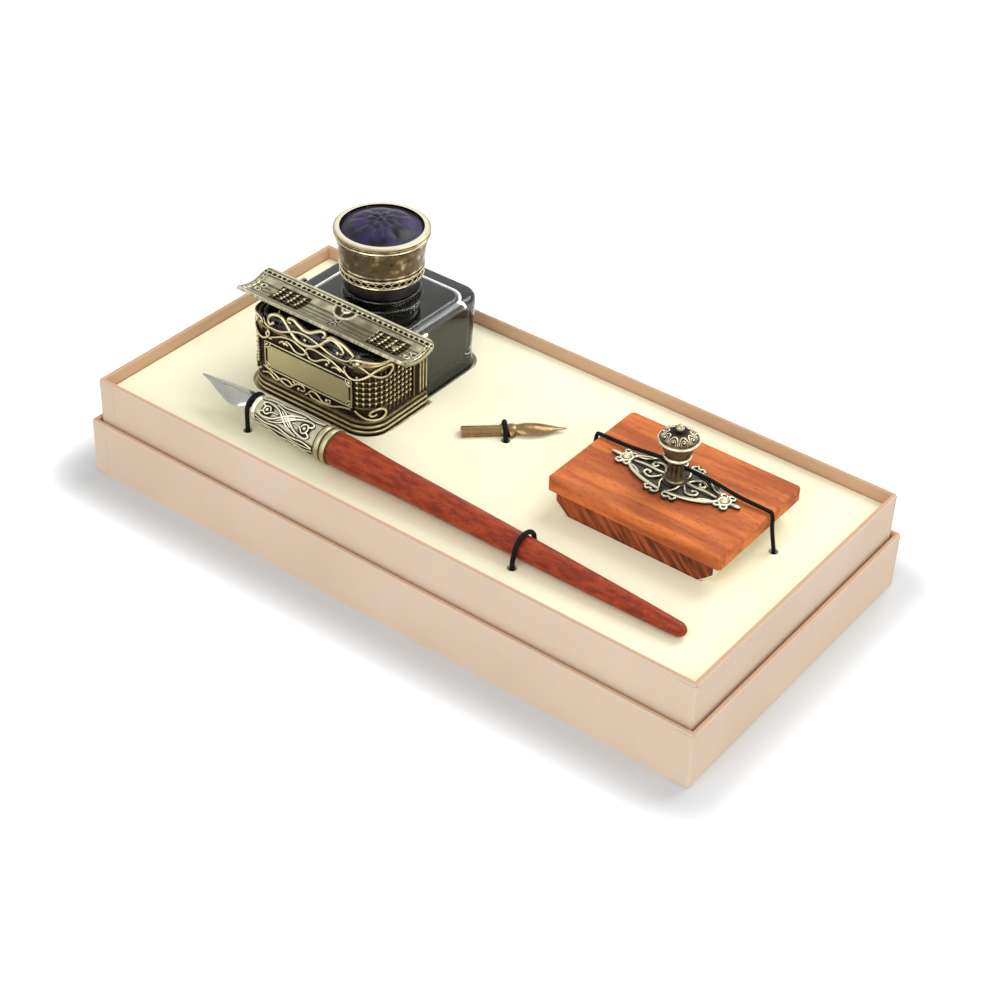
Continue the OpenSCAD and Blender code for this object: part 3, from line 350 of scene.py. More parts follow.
@dataclass(frozen=True)
class Paper(Finish):
    """Matt paper or card with fine fibres."""

    pale: Colour = srgb(232, 208, 186)
    deep: Colour = srgb(222, 196, 170)
    strength: float = 0.25

    def surface(self, w: Wiring) -> dict[str, object]:
        """Returns matt paper with raised fibres."""
        group = w.add("ShaderNodeGroup", {"Pale": self.pale, "Deep": self.deep},
                      node_tree=Effect.fibre()).outputs
        return {"Base Color": self.tint(w, group["Color"]), "Roughness": 0.82, "Specular IOR Level": 0.2,
                "Normal": w.raised(group["Height"], self.strength, 0.00005)}

    def tint(self, w: Wiring, colour: Socket) -> Socket:
        """Returns the paper's colour as it is."""
        return colour


@dataclass(frozen=True)
class TrayPaperWithPaintedShade(Paper):
    """Box paper with painted shade: a tray's rim and inner walls get a deeper colour than its outer walls,
    though it is the same paper.
    """

    half: Flat = (0.1298, 0.0633)
    # Colour of the painted shade on the rim and the inner walls.
    inner: Colour = srgb(205, 169, 138)

    def tint(self, w: Wiring, colour: Socket) -> Socket:
        """Returns the paper's colour outside and the painted shade colour inside."""
        spot = w.add("ShaderNodeSeparateXYZ", {"Vector": w.add("ShaderNodeTexCoord").outputs["Object"]})
        past = [w.math("GREATER_THAN", w.math("ABSOLUTE", spot.outputs[axis]), reach)
                for axis, reach in zip("XY", self.half)]
        return w.mix(w.math("MAXIMUM", *past), self.inner, colour)


@dataclass(frozen=True)
class Wood(Finish):
    """Polished red wood with streaks along one direction."""

    pale: Colour = srgb(206, 104, 62)
    deep: Colour = srgb(120, 44, 28)
    stretch: Point = (0.12, 1.0, 1.0)
    turn: Point = (0.0, 0.0, 0.0)
    scale: float = 130.0
    fleck_scale: float = 1400.0
    flecks: float = 0.3
    coat: float = 0.2
    roughness: float = 0.42

    def surface(self, w: Wiring) -> dict[str, object]:
        """Returns streaked wood with dark pores."""
        bands = w.spread(w.noise(self.scale, 5.0, self.stretch, self.turn), 0.34, 0.66)
        pores = w.noise(self.fleck_scale, 2.0, tuple(min(1.0, 2.2 * s) for s in self.stretch), self.turn)
        dark = w.math("MULTIPLY", w.spread(pores, 0.55, 0.72), self.flecks)
        body = w.mix(bands, self.deep, self.pale)
        return {"Base Color": w.mix(dark, body, tuple(0.4 * c for c in self.deep[:3]) + (1.0,)),
                "Roughness": w.spread(pores, 0.4, 0.7, self.roughness, self.roughness + 0.15),
                "Specular IOR Level": 0.22, "Coat Weight": self.coat, "Coat Roughness": 0.12,
                "Normal": w.raised(pores, 0.15, 0.00005)}


@dataclass(frozen=True)
class ClearGlass(Finish):
    """Thick clear glass with a faint green cast."""

    tint: Colour = srgb(232, 240, 236)
    pale: Colour = srgb(244, 250, 247)

    def surface(self, w: Wiring) -> dict[str, object]:
        """Returns glass with a faint wave in it."""
        wave = w.noise(60.0, 2.0)
        return {"Base Color": w.mix(wave, self.tint, self.pale), "Specular IOR Level": 0.5,
                "Transmission Weight": 1.0, "Roughness": 0.01, "IOR": 1.5,
                "Normal": w.raised(wave, 0.05, 0.0002)}


@dataclass(frozen=True)
class SmoothSolid(Finish):
    """Dense smooth stuff, such as ink, plastic, stone or foam."""

    pale: Colour = srgb(30, 28, 30)
    deep: Colour = srgb(12, 11, 12)
    roughness: float = 0.3
    specular: float = 0.5
    cloud: float = 60.0
    grit: float = 0.1

    def surface(self, w: Wiring) -> dict[str, object]:
        """Returns a cloudy surface with a fine grit."""
        cloud = w.spread(w.noise(self.cloud, 4.0), 0.35, 0.65)
        return {"Base Color": w.mix(cloud, self.deep, self.pale),
                "Roughness": w.spread(cloud, 0.0, 1.0, self.roughness, self.roughness * 1.25),
                "Specular IOR Level": self.specular,
                "Normal": w.raised(w.noise(3000.0, 2.0), self.grit, 0.00004)}


@dataclass(frozen=True)
class BraidedElastic(Finish):
    """Black elastic with a fine braided cover."""

    pale: Colour = srgb(24, 23, 24)
    deep: Colour = srgb(5, 5, 6)

    def surface(self, w: Wiring) -> dict[str, object]:
        """Returns small raised threads."""
        where = w.add("ShaderNodeTexCoord").outputs["Object"]
        threads = w.add("ShaderNodeTexVoronoi", {"Vector": where, "Scale": 2600.0}).outputs["Distance"]
        share = w.spread(threads, 0.0, 0.7)
        return {"Base Color": w.mix(share, self.pale, self.deep), "Roughness": 0.8,
                "Specular IOR Level": 0.2,
                "Normal": w.raised(w.math("SUBTRACT", 1.0, share), 0.7, 0.00015)}


class Slot(Enum):
    """Material slots of the record, each with its finish."""

    BOX = "box_paper"
    CARD = "insert_card"
    GLASS = "clear_glass"
    INK = "black_ink"
    GILT = "gilt_metal"
    PLATE = "plate_metal"
    SILVER = "silver_metal"
    PLASTIC = "black_plastic"
    FOAM = "seal_foam"
    STONE = "violet_stone"
    NIB = "nib_steel"
    COLLET = "collet_steel"
    BRONZE = "nib_bronze"
    HANDLE = "handle_wood"
    BLOTTER = "blotter_wood"
    ELASTIC = "elastic"
    BLOTTING = "blotting_paper"
    BUSH = "bush_brass"
    SCREW = "screw_steel"


FINISHES: dict[Slot, Finish] = {
    Slot.BOX: Paper("box paper"),
    Slot.CARD: Paper("cream card", srgb(255, 251, 220), srgb(250, 243, 208), 0.12),
    Slot.GLASS: ClearGlass("clear glass"),
    Slot.INK: SmoothSolid("black ink", srgb(38, 35, 18), srgb(20, 18, 9), 0.3, 0.05, 20.0, 0.0),
    Slot.GILT: CastMetal("antique gilt casting"),
    Slot.PLATE: SheetMetal("satin gilt plate", srgb(194, 184, 142), srgb(188, 178, 136), 0.4, 0.43, 0.7,
                           0.03),
    Slot.SILVER: CastMetal("antique silver casting", srgb(40, 36, 28), srgb(146, 140, 118),
                           srgb(226, 220, 190), 0.0, 0.35),
    Slot.PLASTIC: SmoothSolid("black plastic", srgb(34, 26, 30), srgb(20, 15, 18), 0.3),
    Slot.FOAM: SmoothSolid("seal foam", srgb(232, 228, 214), srgb(218, 212, 196), 0.8, 0.2, 300.0, 0.4),
    Slot.STONE: SmoothSolid("violet stone", srgb(50, 38, 78), srgb(16, 15, 24), 0.34, 0.22, 150.0, 0.15),
    Slot.NIB: SheetMetal("polished nib steel", srgb(178, 177, 170), srgb(163, 160, 150), 0.24, 0.3),
    Slot.COLLET: SheetMetal("collet steel", srgb(180, 180, 178), srgb(140, 140, 138)),
    Slot.BRONZE: SheetMetal("brown bronze nib", srgb(146, 120, 84), srgb(128, 98, 66), 0.26, 0.34),
    Slot.HANDLE: Wood("red brown handle wood", srgb(164, 64, 28), srgb(126, 38, 14), (0.3, 1.0, 1.0),
                      (0.0, 0.0, 0.0), 520.0, 1900.0, 0.6, 0.1, 0.42),
    Slot.BLOTTER: Wood("orange red blotter wood", srgb(222, 124, 62), srgb(170, 84, 44), scale=190.0,
                       flecks=0.4, coat=0.0, roughness=0.55),
    Slot.ELASTIC: BraidedElastic("black elastic"),
    Slot.BLOTTING: Paper("blotting paper", srgb(236, 231, 214), srgb(224, 218, 200), 0.5),
    Slot.BUSH: SheetMetal("bush brass", srgb(212, 184, 110), srgb(170, 140, 74)),
    Slot.SCREW: SheetMetal("screw steel", srgb(190, 190, 188), srgb(150, 150, 148)),
}


class Palette:
    """Makes each finish once and hands it out."""

    def __init__(self) -> None:
        """Starts with nothing made."""
        self.made: dict[str, bpy.types.Material] = {}

    def get(self, finish: Slot | Finish) -> bpy.types.Material:
        """Returns the material of a slot or of a finish of its own."""
        chosen = FINISHES[finish] if isinstance(finish, Slot) else finish
        if chosen.name not in self.made:
            self.made[chosen.name] = chosen.make()
        return self.made[chosen.name]


# ---------- Mesh making ----------


@dataclass
class Draft:
    """Points in millimetres, faces, and a relief value for each point."""

    points: list[Point] = field(default_factory=list)
    faces: list[tuple[int, ...]] = field(default_factory=list)
    relief: list[float] = field(default_factory=list)

    def grid(self, rows: Rows, relief: Sequence[Sequence[float]] | None = None,
             wrap: bool = False) -> None:
        """Adds a skin over rows of equally many points.

        Args:
            rows: the points, row by row.
            relief: their relief values, or None for 0.
            wrap: whether each row closes on itself.
        """
        start, across = len(self.points), len(rows[0])
        for i, row in enumerate(rows):
            self.points.extend(row)
            self.relief.extend(relief[i] if relief else [0.0] * across)
        for i in range(len(rows) - 1):
            for k in range(across if wrap else across - 1):
                a, b = start + i * across + k, start + i * across + (k + 1) % across
                self.faces.append((a, b, b + across, a + across))

    def cap(self, ring: Sequence[Point], relief: float) -> None:
        """Closes a ring with one flat face."""
        start = len(self.points)
        self.points.extend(ring)
        self.relief.extend([relief] * len(ring))
        self.faces.append(tuple(range(start, start + len(ring))))

    def closed(self, rows: Rows, relief: Sequence[Sequence[float]] | None = None,
               ends: float = 0.0) -> Draft:
        """Adds a skin over closed rows, with a flat face at each end.

        Args:
            rows: the points, row by row.
            relief: their relief values, or None for 0.
            ends: relief value of the two flat faces.

        Returns:
            This draft.
        """
        self.grid(rows, relief, wrap=True)
        self.cap(rows[0], ends)
        self.cap(rows[-1], ends)
        return self

    def mesh(self, name: str, sharp: float = 40.0) -> bpy.types.Mesh:
        """Returns the mesh, welded, with outward normals and smooth shading.

        Args:
            name: name of the mesh.
            sharp: edges that turn by more degrees than this stay crisp.

        Returns:
            The new mesh.
        """
        mesh = bpy.data.meshes.new(name)
        mesh.from_pydata([Vector(p) * MM for p in self.points], [], self.faces)
        layer = mesh.attributes.new("relief", "FLOAT", "POINT")
        layer.data.foreach_set("value", self.relief)
        work = bmesh.new()
        work.from_mesh(mesh)
        bmesh.ops.remove_doubles(work, verts=work.verts, dist=0.002 * MM)
        bmesh.ops.recalc_face_normals(work, faces=work.faces)
        work.to_mesh(mesh)
        work.free()
        for polygon in mesh.polygons:
            polygon.use_smooth = True
        mesh.set_sharp_from_angle(angle=radians(sharp))
        return mesh


def way_out(placing: Placing, spot: Sequence[float]) -> Point:
    """Returns the direction in which the third value of a placing grows."""
    here, there = Vector(placing(*spot)), Vector(placing(spot[0], spot[1], spot[2] + 0.5))
    return tuple((there - here).normalized())


def stand(name: str, data: bpy.types.ID) -> Thing:
    """Returns a new object that is linked to the scene."""
    thing = bpy.data.objects.new(name, data)
    bpy.context.scene.collection.objects.link(thing)
    return thing


@dataclass(frozen=True)
class Tag:
    """A piece's name, body and slot, the CAD nodes it stands for and a finish of its own."""

    name: str
    body: str
    slot: Slot
    replaced: tuple[str, ...] = ()
    finish: Finish | None = None


@dataclass
class Workshop:
    """Places finished pieces in the scene and runs the node trees."""

    frame: dict
    palette: Palette
    strand: Tree | None = None
    bead: Tree | None = None

    def place(self, tag: Tag, made: Draft | bpy.types.Mesh, sharp: float = 40.0) -> Thing:
        """Puts a mesh in the scene as a piece.

        Args:
            tag: what the piece is.
            made: its final mesh, or the draft of it.
            sharp: edges of a draft that turn by more degrees than this stay crisp.

        Returns:
            The new object.
        """
        mesh = made.mesh(tag.name, sharp) if isinstance(made, Draft) else made
        piece = stand(tag.name, mesh)
        mesh.materials.clear()
        mesh.materials.append(self.palette.get(tag.finish or tag.slot))
        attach(piece, tag.body)
        if tag.replaced:
            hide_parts(*tag.replaced)
        LOG.info("%s: %d faces on %s", tag.name, len(mesh.polygons), tag.body)
        return piece

    def dress(self, node: str, finish: Slot | Finish) -> None:
        """Gives a CAD node that stays visible its finish."""
        for holder in self.frame["nodes"][node].material_slots:
            holder.material = self.palette.get(finish)
        LOG.info("%s: dressed", node)

    def tree(self, name: str) -> tuple[Wiring, Node]:
        """Returns the wiring and the input node of a new geometry tree with its usual sockets."""
        w = Wiring(bpy.data.node_groups.new(name, "GeometryNodeTree"))
        w.sockets("INPUT", {"Geometry": "Geometry", "Sides": "Int", "Relief": "Float",
                            "Material": "Material"})
        w.sockets("OUTPUT", {"Geometry": "Geometry"})
        return w, w.add("NodeGroupInput")

    def named(self, w: Wiring, name: str, kind: str) -> Socket:
        """Returns the socket that reads a named attribute."""
        return w.add("GeometryNodeInputNamedAttribute", {"Name": name}, data_type=kind).outputs["Attribute"]

    def finish_tree(self, w: Wiring, entry: Node, made: Socket) -> Tree:
        """Ends a tree with real instances, the relief attribute with painted highlight on faces that point
        outward and painted shade on the flanks, smooth faces and the material.
        """
        realized = w.add("GeometryNodeRealizeInstances", {"Geometry": made}).outputs[0]
        normal = w.add("GeometryNodeInputNormal").outputs[0]
        # Painted light: faces that point outward keep the full relief value, flanks fall to a low one.
        facing = w.add("ShaderNodeVectorMath", {0: normal, 1: self.named(w, "outward", "FLOAT_VECTOR")},
                       operation="DOT_PRODUCT").outputs["Value"]
        tone = w.math("MULTIPLY", w.spread(facing, 0.1, 0.95, 0.12, 1.0), entry.outputs["Relief"])
        stored = w.add("GeometryNodeStoreNamedAttribute",
                       {"Geometry": realized, "Name": "relief", "Value": tone},
                       data_type="FLOAT", domain="POINT").outputs[0]
        soft = w.add("GeometryNodeSetShadeSmooth", {"Geometry": stored}).outputs[0]
        coated = w.add("GeometryNodeSetMaterial",
                       {"Geometry": soft, "Material": entry.outputs["Material"]}).outputs[0]
        w.add("NodeGroupOutput", {"Geometry": coated})
        return w.tree

    def strand_tree(self) -> Tree:
        """Returns the tree that turns wire routes into round strands of changing thickness."""
        if self.strand is None:
            w, entry = self.tree("round strands")
            curve = w.add("GeometryNodeMeshToCurve", {"Mesh": entry.outputs["Geometry"]}).outputs[0]
            ring = w.add("GeometryNodeCurvePrimitiveCircle",
                         {"Resolution": entry.outputs["Sides"], "Radius": 1.0}).outputs["Curve"]
            swept = w.add("GeometryNodeCurveToMesh",
                          {"Curve": curve, "Profile Curve": ring, "Scale": self.named(w, "half", "FLOAT"),
                           "Fill Caps": True}).outputs[0]
            self.strand = self.finish_tree(w, entry, swept)
        return self.strand

    def bead_tree(self) -> Tree:
        """Returns the tree that sets a small ball on each point."""
        if self.bead is None:
            w, entry = self.tree("set beads")
            ball = w.add("GeometryNodeMeshUVSphere",
                         {"Segments": entry.outputs["Sides"], "Rings": 5, "Radius": 1.0}).outputs["Mesh"]
            beads = w.add("GeometryNodeInstanceOnPoints",
                          {"Points": entry.outputs["Geometry"], "Instance": ball,
                           "Scale": self.named(w, "half", "FLOAT")}).outputs[0]
            self.bead = self.finish_tree(w, entry, beads)
        return self.bead

    def run(self, tree: Tree, tag: Tag, chains: Rows,
            outward: Rows, halves: Sequence[Sequence[float]], sides: int,
            relief: float) -> Thing:
        """Feeds chains of points through a tree and places what it makes.

        Args:
            tree: the geometry tree; strands need the points of a chain joined by edges.
            tag: what the piece is.
            chains: points in millimetres.
            outward: direction out of the surface at each point.
            halves: radius at each point, in millimetres.
            sides: sides of each strand or segments of each bead.
            relief: relief value of the result.

        Returns:
            The placed piece.
        """
        points, edges, sizes, ways = [], [], [], []
        for chain, way, half in zip(chains, outward, halves):
            start = len(points)
            points.extend(Vector(p) * MM for p in chain)
            for direction in way:
                ways.extend(direction)
            sizes.extend(h * MM for h in half)
            if tree is self.strand:
                edges.extend((start + i, start + i + 1) for i in range(len(chain) - 1))
        mesh = bpy.data.meshes.new(tag.name)
        mesh.from_pydata(points, edges, [])
        mesh.attributes.new("half", "FLOAT", "POINT").data.foreach_set("value", sizes)
        mesh.attributes.new("outward", "FLOAT_VECTOR", "POINT").data.foreach_set("vector", ways)
        holder = stand(tag.name, mesh)
        live = holder.modifiers.new("maker", "NODES")
        live.node_group = tree
        values = {"Sides": sides, "Relief": relief, "Material": self.palette.get(tag.finish or tag.slot)}
        for item in tree.interface.items_tree:
            if item.item_type == "SOCKET" and item.in_out == "INPUT" and item.name in values:
                live[item.identifier] = values[item.name]
        graph = bpy.context.evaluated_depsgraph_get()
        made = bpy.data.meshes.new_from_object(holder.evaluated_get(graph))
        holder.modifiers.clear()
        bpy.data.objects.remove(holder)
        made.name = tag.name
        return self.place(tag, made)

    def strands(self, tag: Tag, routes: Sequence[tuple[Sequence[Sequence[float]], float]],
                placing: Placing, out: float = 0.0, sides: int = 8, relief: float = 1.0,
                taper: float = 0.0, steps: int = 6) -> Thing:
        """Places a piece of round strands that follow routes on a surface.

        Args:
            tag: what the piece is.
            routes: each a list of (across, up) or (across, up, out) points, and a half thickness.
            placing: turns (across, up, out) into a place in millimetres.
            out: how far a flat route lies outside the surface.
            sides: sides of each strand.
            relief: relief value of the strands.
            taper: share of the thickness lost at the ends.
            steps: curve points for each stretch of a route.

        Returns:
            The placed piece.
        """
        chains, ways, halves = [], [], []
        for route, half in routes:
            curve = [(p[0], p[1], p[2] if len(p) > 2 else out) for p in smooth_route(route, steps)]
            last = len(curve) - 1
            chains.append([placing(*p) for p in curve])
            ways.append([way_out(placing, p) for p in curve])
            halves.append([half * (1 - taper + taper * sin(pi * i / last))
                           for i in range(last + 1)])
        return self.run(self.strand_tree(), tag, chains, ways, halves, sides, relief)

    def beads(self, tag: Tag, spots: Sequence[tuple[float, float, float, float]], placing: Placing,
              sides: int = 8) -> Thing:
        """Places a piece of beads on a surface, each given as (across, up, out, radius)."""
        chain = [placing(a, b, c) for a, b, c, _ in spots]
        ways = [way_out(placing, spot[:3]) for spot in spots]
        return self.run(self.bead_tree(), tag, [chain], [ways], [[s[3] for s in spots]], sides, 1.0)


# ---------- Shapes shared by the pieces ----------


def rounded_ring(centre: Flat, width: float, depth: float, radius: float, z: float,
                 arc: int = 8, side: int = 6) -> list[Point]:
    """Returns a level ring round a rectangle with round corners.

    Args:
        centre: middle of the rectangle.
        width: size across X.
        depth: size across Y.
        radius: corner radius.
        z: height of the ring.
        arc: steps in each corner.
        side: steps along each side.

    Returns:
        The points of the ring.
    """
    ring: list[Point] = []
    for quarter in range(4):
        turn = quarter * pi / 2
        cx = (width / 2 - radius) * (1 if quarter in (0, 3) else -1)
        cy = (depth / 2 - radius) * (1 if quarter in (0, 1) else -1)
        for step in range(arc + 1):
            a = turn + step / arc * pi / 2
            ring.append((centre[0] + cx + radius * cos(a), centre[1] + cy + radius * sin(a), z))
    full: list[Point] = []
    for i, point in enumerate(ring):
        full.append(point)
        if i % (arc + 1) == arc:
            after = ring[(i + 1) % len(ring)]
            for step in range(1, side):
                t = step / side
                full.append(tuple(p + (q - p) * t for p, q in zip(point, after)))
    return full


def turned(profile: Sequence[tuple[float, float]], place: Callable[[float, float, float], Point],
           sides: int) -> list[list[Point]]:
    """Returns rings of points for a profile of (distance, radius) pairs turned round an axis.

    Args:
        profile: pairs of distance along the axis and radius.
        place: turns (distance, angle, radius) into a place.
        sides: points in each ring.

    Returns:
        The rings, one for each pair.
    """
    return [[place(s, 2 * pi * k / sides, r) for k in range(sides)] for s, r in profile]


def upright(x: float, y: float) -> Placing:
    """Returns the placing of (height, angle, radius) round an upright axis at x, y."""
    return lambda z, angle, r: (x + r * cos(angle), y + r * sin(angle), z)


# ---------- Studio ----------


@dataclass(frozen=True)
class PaleFloor(Finish):
    """Pale matt floor that glows white away from the object; beside it the glow fades, so the grey floor
    paints a shadow band over the real shadow the lamps cast.
    """

    half: Point = (0.1327, 0.0662, 0.0)
    # Distances from the object's outline over which the glow rises from none to full: the painted shadow
    # band.
    shade: Flat = (0.004, 0.038)

    def surface(self, w: Wiring) -> dict[str, object]:
        """Returns a matt ground whose glow grows with the distance from the object, leaving a painted shadow
        band round it.
        """
        seen = w.in_view()
        spot = w.add("ShaderNodeTexCoord").outputs["Object"]
        side = w.add("ShaderNodeVectorMath", {0: spot}, operation="ABSOLUTE").outputs["Vector"]
        past = w.add("ShaderNodeVectorMath", {0: side, 1: self.half}, operation="SUBTRACT").outputs["Vector"]
        out = w.add("ShaderNodeVectorMath", {0: past, 1: (0.0, 0.0, 0.0)},
                    operation="MAXIMUM").outputs["Vector"]
        away = w.add("ShaderNodeVectorMath", {0: out}, operation="LENGTH").outputs["Value"]
        # Painted shadow: no glow near the object, so the grey floor reads dark there along with the real cast
        # shadow.
        glow = w.spread(away, self.shade[0], self.shade[1], 0.0, 0.98)
        return {"Base Color": (0.66, 0.67, 0.68, 1.0), "Roughness": 0.9, "Specular IOR Level": 0.1,
                "Emission Color": (1.0, 1.0, 1.0, 1.0), "Emission Strength": w.math("MULTIPLY", seen, glow)}


@dataclass
class Studio:
    """Floor, soft lamps and the camera."""

    eye: Point = (361.97, -489.68, 474.56)
    azimuth: float = 35.972
    elevation: float = 37.241
    roll: float = 2.376
    lens: float = 75.93
    floor_size: float = 6.0
    aim: Point = (0.0, 0.0, 0.04)

    def build(self) -> None:
        """Makes the world, the floor, the lamps and the camera."""
        self.camera()
        self.world()
        self.floor()
        self.lamp("key lamp", (0.15, 0.75, 0.95), 0.7, 7.4)
        self.lamp("front lamp", (0.15, -1.1, 0.8), 1.0, 6.9)
        self.lamp("side lamp", (1.2, 0.0, 0.7), 0.8, 3.3)
        LOG.info("studio: ready")

    def camera(self) -> None:
        """Stands the camera at the calibrated place and turn."""
        az, el, roll = (radians(v) for v in (self.azimuth, self.elevation, self.roll))
        back = Vector((sin(az) * cos(el), -cos(az) * cos(el), sin(el)))
        right = (-back).cross(Vector((0, 0, 1))).normalized()
        top = right.cross(-back)
        side = cos(roll) * right + sin(roll) * top
        rise = -sin(roll) * right + cos(roll) * top
        data = bpy.data.cameras.new("camera")
        data.sensor_width = 36.0
        data.lens = self.lens
        data.clip_start, data.clip_end = 0.02, 20.0
        camera = stand("camera", data)
        turn = Matrix((side, rise, back)).transposed().to_4x4()
        camera.matrix_world = Matrix.Translation(Vector(self.eye) * MM) @ turn
        bpy.context.scene.camera = camera

    def world(self) -> None:
        """Shows white to the camera, to gloss and through glass, and lights softly otherwise."""
        world = bpy.data.worlds.new("soft room")
        world.use_nodes = True
        bpy.context.scene.world = world
        w = Wiring(world.node_tree)
        seen = w.in_view()
        w.feed(world.node_tree.nodes["Background"],
               {"Color": w.mix(seen, (0.96, 0.98, 1.0, 1.0), (1.0, 1.0, 1.0, 1.0)),
                "Strength": w.spread(seen, 0.0, 1.0, 0.62, 1.0)})

    def floor(self) -> None:
        """Lays the pale floor, which shows white, keeps the shadow and adds a painted shadow band beside the
        object.
        """
        mesh = bpy.data.meshes.new("floor")
        h = self.floor_size / 2
        mesh.from_pydata([(-h, -h, 0), (h, -h, 0), (h, h, 0), (-h, h, 0)], [], [(0, 1, 2, 3)])
        floor = stand("floor", mesh)
        mesh.materials.append(PaleFloor("pale floor").make())

    def lamp(self, name: str, place: Point, size: float, power: float) -> None:
        """Hangs a square lamp that faces the object.

        Args:
            name: the lamp's name.
            place: where it hangs, in metres.
            size: its side in metres.
            power: its power in watts.
        """
        data = bpy.data.lights.new(name, "AREA")
        data.size = size
        data.energy = power
        lamp = stand(name, data)
        lamp.location = place
        lamp.rotation_euler = (Vector(self.aim) - Vector(place)).to_track_quat("-Z", "Y").to_euler()


# ---------- Case ----------


@dataclass
class PresentationCase:
    """Base tray, inner tray and the card insert, all kept from the CAD model."""

    lap: float = 7.0
    skin: float = 0.12
    corner: float = 0.9
    tuck: float = 1.6

    def build(self, shop: Workshop) -> None:
        """Dresses the trays and the insert and adds the paper laps at the corners."""
        # The trays' rims and inner walls carry painted shade.
        shop.dress("inner_tray", TrayPaperWithPaintedShade("inner tray paper with painted shade"))
        shop.dress("base_tray", TrayPaperWithPaintedShade("base tray paper with painted shade", half=(0.1325, 0.066)))
        for node in ("insert_face", "insert_riser", "bottle_cradle"):
            shop.dress(node, Slot.CARD)
        self.laps(shop, "inner_tray", (130.0, 63.5), (25.4, 39.4))
        self.laps(shop, "base_tray", (132.7, 66.2), (0.5, 21.9))

    def laps(self, shop: Workshop, node: str, half: Flat, span: Flat) -> None:
        """Wraps a thin lap of the covering paper round each upright corner of a tray.

        Args:
            shop: the workshop.
            node: the tray, which is also its body.
            half: half length and half width of the tray outside.
            span: lowest and highest point of the laps.
        """
        draft = Draft()
        for sx in (-1, 1):
            for sy in (-1, 1):
                x, y, r = sx * half[0], sy * half[1], self.corner
                path = [(x - sx * self.lap, y), (x - sx * self.lap, y + sy * self.skin)]
                path += [(x - sx * r + sx * (r + self.skin) * sin(a),
                          y - sy * r + sy * (r + self.skin) * cos(a))
                         for a in (pi * k / 12 for k in range(7))]
                path += [(x + sx * self.skin, y - sy * self.tuck), (x, y - sy * self.tuck)]
                draft.grid([[(px, py, z) for px, py in path] for z in span])
        mesh = draft.mesh(node + "_laps", 50.0)
        for polygon in mesh.polygons:
            (nx, ny, _), (x, y, _) = polygon.normal, polygon.center
            if (abs(nx) > abs(ny) and nx * x < 0) or (abs(ny) > abs(nx) and ny * y < 0):
                polygon.flip()
        shop.place(Tag(node + "_laps", node, Slot.BOX), mesh)


# ---------- Ink bottle ----------


